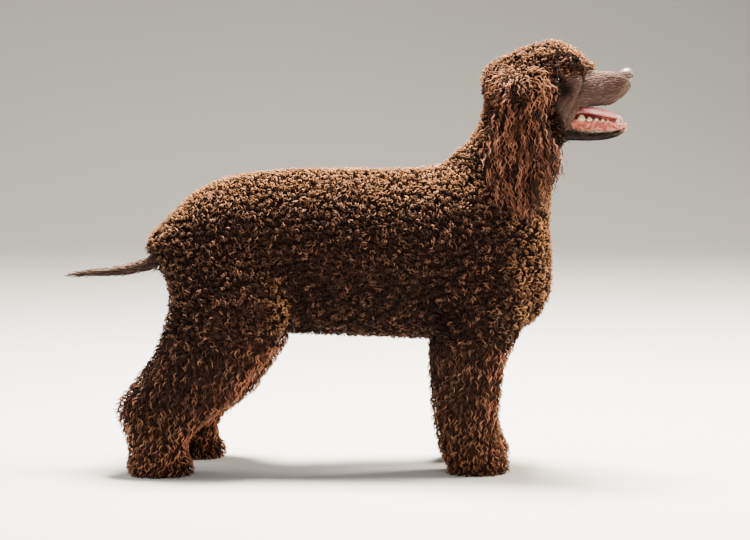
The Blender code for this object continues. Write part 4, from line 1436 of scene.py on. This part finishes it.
PATCH, LOWEST_HAIR = 0.003, 0.0006
ROOT_DARK, ROOT_PALE = (0.0080, 0.0040, 0.0027), (0.015, 0.0075, 0.0050)
TIP_DARK, TIP_PALE, FADED = (0.022, 0.0108, 0.0074), (0.360, 0.182, 0.112), (0.105, 0.050, 0.032)
RED_TONE_AND_RIM_LIGHT, BLEACHED_AND_SUNLIT, SHADED = (0.480, 0.175, 0.092), (0.680, 0.322, 0.132), (0.0055, 0.0030, 0.0023)
STRAND_DARK, STRAND_STRETCH = (0.014, 0.0060, 0.0040), (14, 2.0, 1)
SHEEN_TINT, SHEEN_ROUGHNESS = (1.0, 0.58, 0.36, 1.0), 0.40
curly_hair, tree, shader = new_material("curly_hair", 0.62, specular=0.06, sheen=0.02)
shader.inputs["Sheen Tint"].default_value = SHEEN_TINT
shader.inputs["Sheen Roughness"].default_value = SHEEN_ROUGHNESS
height_here, tone, sun_here, red_here, shade_here = marks_on(
    tree, "height", "tone", "sun", "red", "shade"
)
strand_map = node(tree, "ShaderNodeUVMap", {"uv_map": "strand"})["UV"]
drawn_out = {"Vector": strand_map, "Scale": STRAND_STRETCH}
strands = noise(tree, node(tree, "ShaderNodeMapping", None, drawn_out)["Vector"], 1.0, 2.0)
patches = noise(tree, object_place(tree), 9.0, 2.0)
bright = tone.between(0.10, 1.0)
toward_tip = height_here.between(0.40, 1.0)
tip = mixed(bright * bright, TIP_DARK, TIP_PALE)
# the hair darkens from the tip to the root: painted shade deep in the coat, with the outer hair bleached
# lighter
hair = mixed(toward_tip, mixed(tone, ROOT_DARK, ROOT_PALE), tip)
hair = mixed(patches.between(0.4, 0.7) * 0.25, hair, FADED)
# a redder tone on the ears and topknot, and painted rim light down the legs and on the feet
hair = mixed(red_here * height_here.between(0.35, 0.90) * tone.between(0.0, 0.6), hair, RED_TONE_AND_RIM_LIGHT)
# painted sunlight where the coat faces the light, with some real bleaching of the tips
hair = mixed(sun_here * toward_tip, hair, BLEACHED_AND_SUNLIT)
hair = mixed(shade_here * (1.0 - bright * 0.70), hair, SHADED)
feed(
    shader,
    base_color=mixed(strands.between(0.3, 0.7) * 0.40, hair, STRAND_DARK),
    normal=bump(tree, strands, 0.0006, 0.5),
)

# which triangles of the skin belong to each region of the coat
EAR_TOP, LEG_TOP, TOPKNOT_BACK, TOPKNOT_BELOW_NECK = -0.035, 0.25, -0.16, 0.035
ON_LEATHER, ROUND_EAR_ROOT, OFF_FLESH = 0.004, 0.09, 0.0045
centres = skin_points[skin_triangles].mean(axis=1)
head_place = in_head(centres)
on_ear = np.array([leather_tree.find_nearest(Vector(c))[3] < ON_LEATHER for c in centres])
from_ear_root = np.abs(head_place - (EAR_ROOT[0], 0, EAR_ROOT[2])).max(axis=1)
for index in np.nonzero(from_ear_root < ROUND_EAR_ROOT)[0]:
    on_ear[index] |= flesh_tree.find_nearest(Vector(centres[index]))[3] > OFF_FLESH
smooth_coated = short_haired(centres) >= 0.5
curled = ~smooth_coated & ~on_ear
ear_top = on_ear & (head_place[:, 2] > EAR_TOP)
topknot_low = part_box("neck")[1].z - TOPKNOT_BELOW_NECK
on_head = (head_place[:, 0] > TOPKNOT_BACK) & (centres[:, 2] > topknot_low) & curled
on_leg = (centres[:, 2] < LEG_TOP) & curled
on_body = ~on_leg & ~on_head & curled
on_face = smooth_coated & (head_place[:, 0] > -0.2)
on_tail = smooth_coated & ~on_face


def body_lie(roots):
    """Back and down over the trunk and neck, straight down on the chest and legs."""
    downhill = ramp(-roots[:, 2], -0.45, -0.20)
    chest = ramp(roots[:, 0], 0.20, 0.34)
    back = (1 - chest) * (1 - 0.75 * downhill)
    return np.stack([-back, np.zeros(len(roots)), -0.45 - downhill - chest], axis=1)


def topknot_lie(roots):
    """Away from the crown on every side, and down."""
    forward, side, up = in_head(roots).T
    away = np.stack([forward + 0.045, side * 1.2, np.full(len(roots), -0.03)], axis=1)
    return unit(away) @ HEAD_AXES


def ear_lie(roots):
    return np.broadcast_to(np.array([0.0, 0.0, -1.0]), roots.shape)


def on_skin(lies, normals):
    """The lie of the hair, laid along the skin."""
    laid = lies - (lies * normals).sum(axis=1, keepdims=True) * normals
    return unit(laid + np.array([-1e-4, 0, -2e-4]))


def tail_lie(roots):
    return np.broadcast_to(np.array([-1.0, 0.0, -0.1]), roots.shape)


def face_lie(roots):
    """From the nose back over the face, and down at the cheek."""
    forward = in_head(roots)[:, 0]
    down = -0.25 - 15.0 * np.maximum(0.05 - forward, 0)
    back = np.stack([np.full(len(roots), -1.0), np.zeros(len(roots)), down], axis=1)
    return unit(back) @ HEAD_AXES


# length along the lie, turns and radius of the coil, greatest width, rings of the mesh, how far
# it strays aside, how soon it rises, the size and looseness of its bunch, how far the bunch
# gathers in and rounds over, and the lowest it may lie
RINGLET = dict(
    length=0.0100, turns=1.6, curl=0.0035, width=0.0019, rings=10, stray=1.6, rise=2.2,
    bunch=0.0125, loose=0.35, gather=0.40, dome=0.24, lowest=0.002, slot="curly_coat",
)
LEG_RINGLET = dict(
    length=0.0220, turns=1.6, curl=0.0026, width=0.0016, rings=9, stray=0.6, rise=2.0,
    bunch=0.0110, loose=0.40, gather=0.45, dome=0.20, lowest=0.002, slot="curly_coat",
)
TOPKNOT = dict(
    length=0.0140, turns=1.6, curl=0.0034, width=0.0019, rings=10, stray=1.3, rise=2.0,
    bunch=0.0115, loose=0.40, gather=0.35, dome=0.20, lowest=0.002, slot="curly_coat",
)
EAR_LOCK = dict(
    length=0.042, turns=2.6, curl=0.0024, width=0.0019, rings=14, stray=0.35, rise=3.0,
    bunch=0.0125, loose=0.45, gather=0.50, dome=0.18, lowest=0.002, slot="curly_coat",
)
SHORT_TUFT = dict(
    length=0.0085, turns=0.2, curl=0.0002, width=0.0010, rings=4, stray=0.30, rise=1.6,
    bunch=0.0080, loose=0.60, gather=0.25, dome=0.0, lowest=0.0010, slot="smooth_hair",
)
TAIL_TUFT = dict(
    length=0.0130, turns=0.2, curl=0.0003, width=0.0012, rings=4, stray=0.25, rise=1.4,
    bunch=0.0080, loose=0.60, gather=0.25, dome=0.0, lowest=0.0012, slot="smooth_hair",
)
# regions of coat: name, where, how far apart the roots are, shape, lie, outline, most depth, pieces
COATS = (
    ("body_curls", on_body, 0.0048, RINGLET, body_lie, body_outline, 0.024, 5),
    ("leg_curls", on_leg, 0.0052, LEG_RINGLET, body_lie, body_outline, 0.022, 3),
    ("topknot_curls", on_head | ear_top, 0.0044, TOPKNOT, topknot_lie, whole_outline, 0.045, 1),
    ("ear_locks", on_ear, 0.0050, EAR_LOCK, ear_lie, whole_outline, 0.022, 1),
    ("face_tufts", on_face, 0.0034, SHORT_TUFT, face_lie, body_outline, 0.0022, 1),
    ("tail_tufts", on_tail, 0.0036, TAIL_TUFT, tail_lie, body_outline, 0.004, 1),
)
# the ears and topknot are redder at the tips: their own tone, with painted rim light; they take less
# painted sunlight
REDNESS = {"ear_locks": 0.42, "topknot_curls": 0.32}
SUNLIT_SHARE = {"ear_locks": 0.22, "topknot_curls": 0.55}
EYE_CLEARING = (0.0160, 0.0125)
EAR_LOOK_BELOW, EAR_FULLER = 0.020, 0.006
skin_finder = KDTree(len(skin_points))
for index, point in enumerate(skin_points):
    skin_finder.insert(Vector(point), index)
skin_finder.balance()


def open_eyed(roots, tips):
    """The locks that leave both eyes clear."""
    clear = np.ones(len(roots), bool)
    for side in (-1, 1):
        for share in (0.0, 0.5, 1.0):
            spots = in_head(roots + (tips - roots) * share)
            gaze, across, upward = ((spots - EYE_CENTRE * (1, side, 1)) @ eye_axes(side).T).T
            beyond = (across / EYE_CLEARING[0]) ** 2 + ((upward - 0.001) / EYE_CLEARING[1]) ** 2
            clear &= ~((gaze > 0) & (beyond < 1))
    return clear


# how the coat differs from place to place: how strong each mark is, and the slopes, heights and
# places along the dog over which it comes in
# the colour marks are mostly painted light: sunlight on the back, chest, rump and top of the tail, rim
# light on the legs and feet, shade on the belly, flank and legs
COAT_BOUNDS = {
    "back": (1.00, ("faces_up", 0.25, 0.95), ("high", 0.25, 0.45)),
    "chest": (1.00, ("faces_ahead", 0.25, 0.80), ("high", 0.25, 0.32)),
    "rump": (0.80, ("faces_up_and_back", 0.55, 1.40), ("high", 0.25, 0.45)),
    "tail_top": (1.00, ("faces_up", -0.1, 0.7)),
    "low_leg": (0.30, ("low", -0.18, -0.05)),
    "shin": (1.00, ("faces_ahead", 0.05, 0.75), ("low", -0.30, -0.24)),
    "hock": (0.50, ("faces_back", 0.2, 0.9), ("behind", 0.20, 0.25), ("low", -0.24, -0.16)),
    "foot": (0.60, ("low", -0.085, -0.020)),
    "dark_leg": (0.28, ("high", 0.08, 0.18)),
    "belly": (1.00, ("faces_down", -0.30, 0.45), ("high", 0.24, 0.32)),
    "flank": (
        0.80, ("low", -0.37, -0.30), ("high", 0.24, 0.27), ("before", -0.18, -0.08),
        ("behind", -0.25, -0.19), ("faces_back", -0.6, -0.2),
    ),
    "larger_over_feet": (0.28, ("high", 0.01, 0.09)),
    "smaller_on_back": (0.16, ("high", 0.46, 0.52), ("behind", -0.30, -0.24)),
    "larger_in_front": (0.12, ("faces_ahead", 0.5, 0.9)),
}
FOOT_SIZE = 0.72


def coat_shares(roots, normals):
    """How much of each mark in the table there is at each root."""
    (ahead, _, facing), (place, _, high) = normals.T, roots.T
    measures = {
        "faces_up": facing, "faces_down": -facing, "faces_ahead": ahead, "faces_back": -ahead,
        "faces_up_and_back": facing - ahead, "high": high, "low": -high, "before": place,
        "behind": -place,
    }
    return {
        mark: strength * np.prod([ramp(measures[of], *limits) for of, *limits in bounds], axis=0)
        for mark, (strength, *bounds) in COAT_BOUNDS.items()
    }


def coat_marks(name, share, nearest, curly):
    """How much painted sunlight and bleaching, painted shade, painted rim light and redness, and darkening
    from the skin each lock takes.
    """
    leg, tail = name == "leg_curls", name == "tail_tufts"
    # painted rim light on the fronts of the shins, the backs of the hocks and the feet
    rim_lit = np.max([share["shin"], share["hock"], share["foot"]], axis=0) * leg
    dark_leg = share["dark_leg"] * (1 - rim_lit) * leg
    leg_or_tail = share["low_leg"] * leg + share["tail_top"] * tail
    sunlit = np.max([share["back"], share["chest"], share["rump"], leg_or_tail], axis=0)
    return {
        "sun": sunlit * SUNLIT_SHARE.get(name, 1.0),
        "shade": np.max([share["belly"], dark_leg, share["flank"]], axis=0) * curly,
        "red": np.maximum(rim_lit, REDNESS.get(name, 0.0)),
        "dark": dark[nearest],
        "lip_edge": lip_edge[nearest],
    }


for name, region, spacing, shape, lie_of, outline, most, pieces in COATS:
    roots, normals = scattered(skin_triangles[region], spacing)
    nearest = np.array([skin_finder.find(Vector(root))[1] for root in roots])
    reach = reach_of(roots, normals, outline, most)
    if name == "ear_locks":
        lower_down = reach_of(roots + ear_lie(roots) * EAR_LOOK_BELOW, normals, outline, most)
        fuller = np.clip(lower_down - reach, 0.0, EAR_FULLER)
        reach = reach + np.where(lower_down < most, fuller, 0.0)
    lies = on_skin(lie_of(roots), normals)
    tips = roots + normals * reach[:, None] + lies * shape["length"] * 0.8
    kept = open_eyed(roots, tips) & (inside[nearest] < 0.15)
    roots, normals, reach, lies, nearest = (
        values[kept] for values in (roots, normals, reach, lies, nearest)
    )
    uv_places = place_on_hide(roots)
    share = coat_shares(roots, normals)
    sizes = FOOT_SIZE + share["larger_over_feet"] - share["smaller_on_back"]
    sizes = sizes + share["larger_in_front"]
    curly = shape["slot"] == "curly_coat"
    marks = coat_marks(name, share, nearest, curly)
    order = np.argsort(roots[:, 0] + roots[:, 1] * 0.001)
    for k, part in enumerate(np.array_split(order, pieces)):
        title = name if pieces == 1 else f"{name}_{k + 1}"
        part_marks = {mark: values[part] for mark, values in marks.items()}
        part_roots = roots[part], normals[part], lies[part], reach[part], sizes[part]
        locks = add_locks(title, *part_roots, shape, uv_places[part], part_marks)
        locks.data.materials.append(curly_hair if curly else smooth_hair)
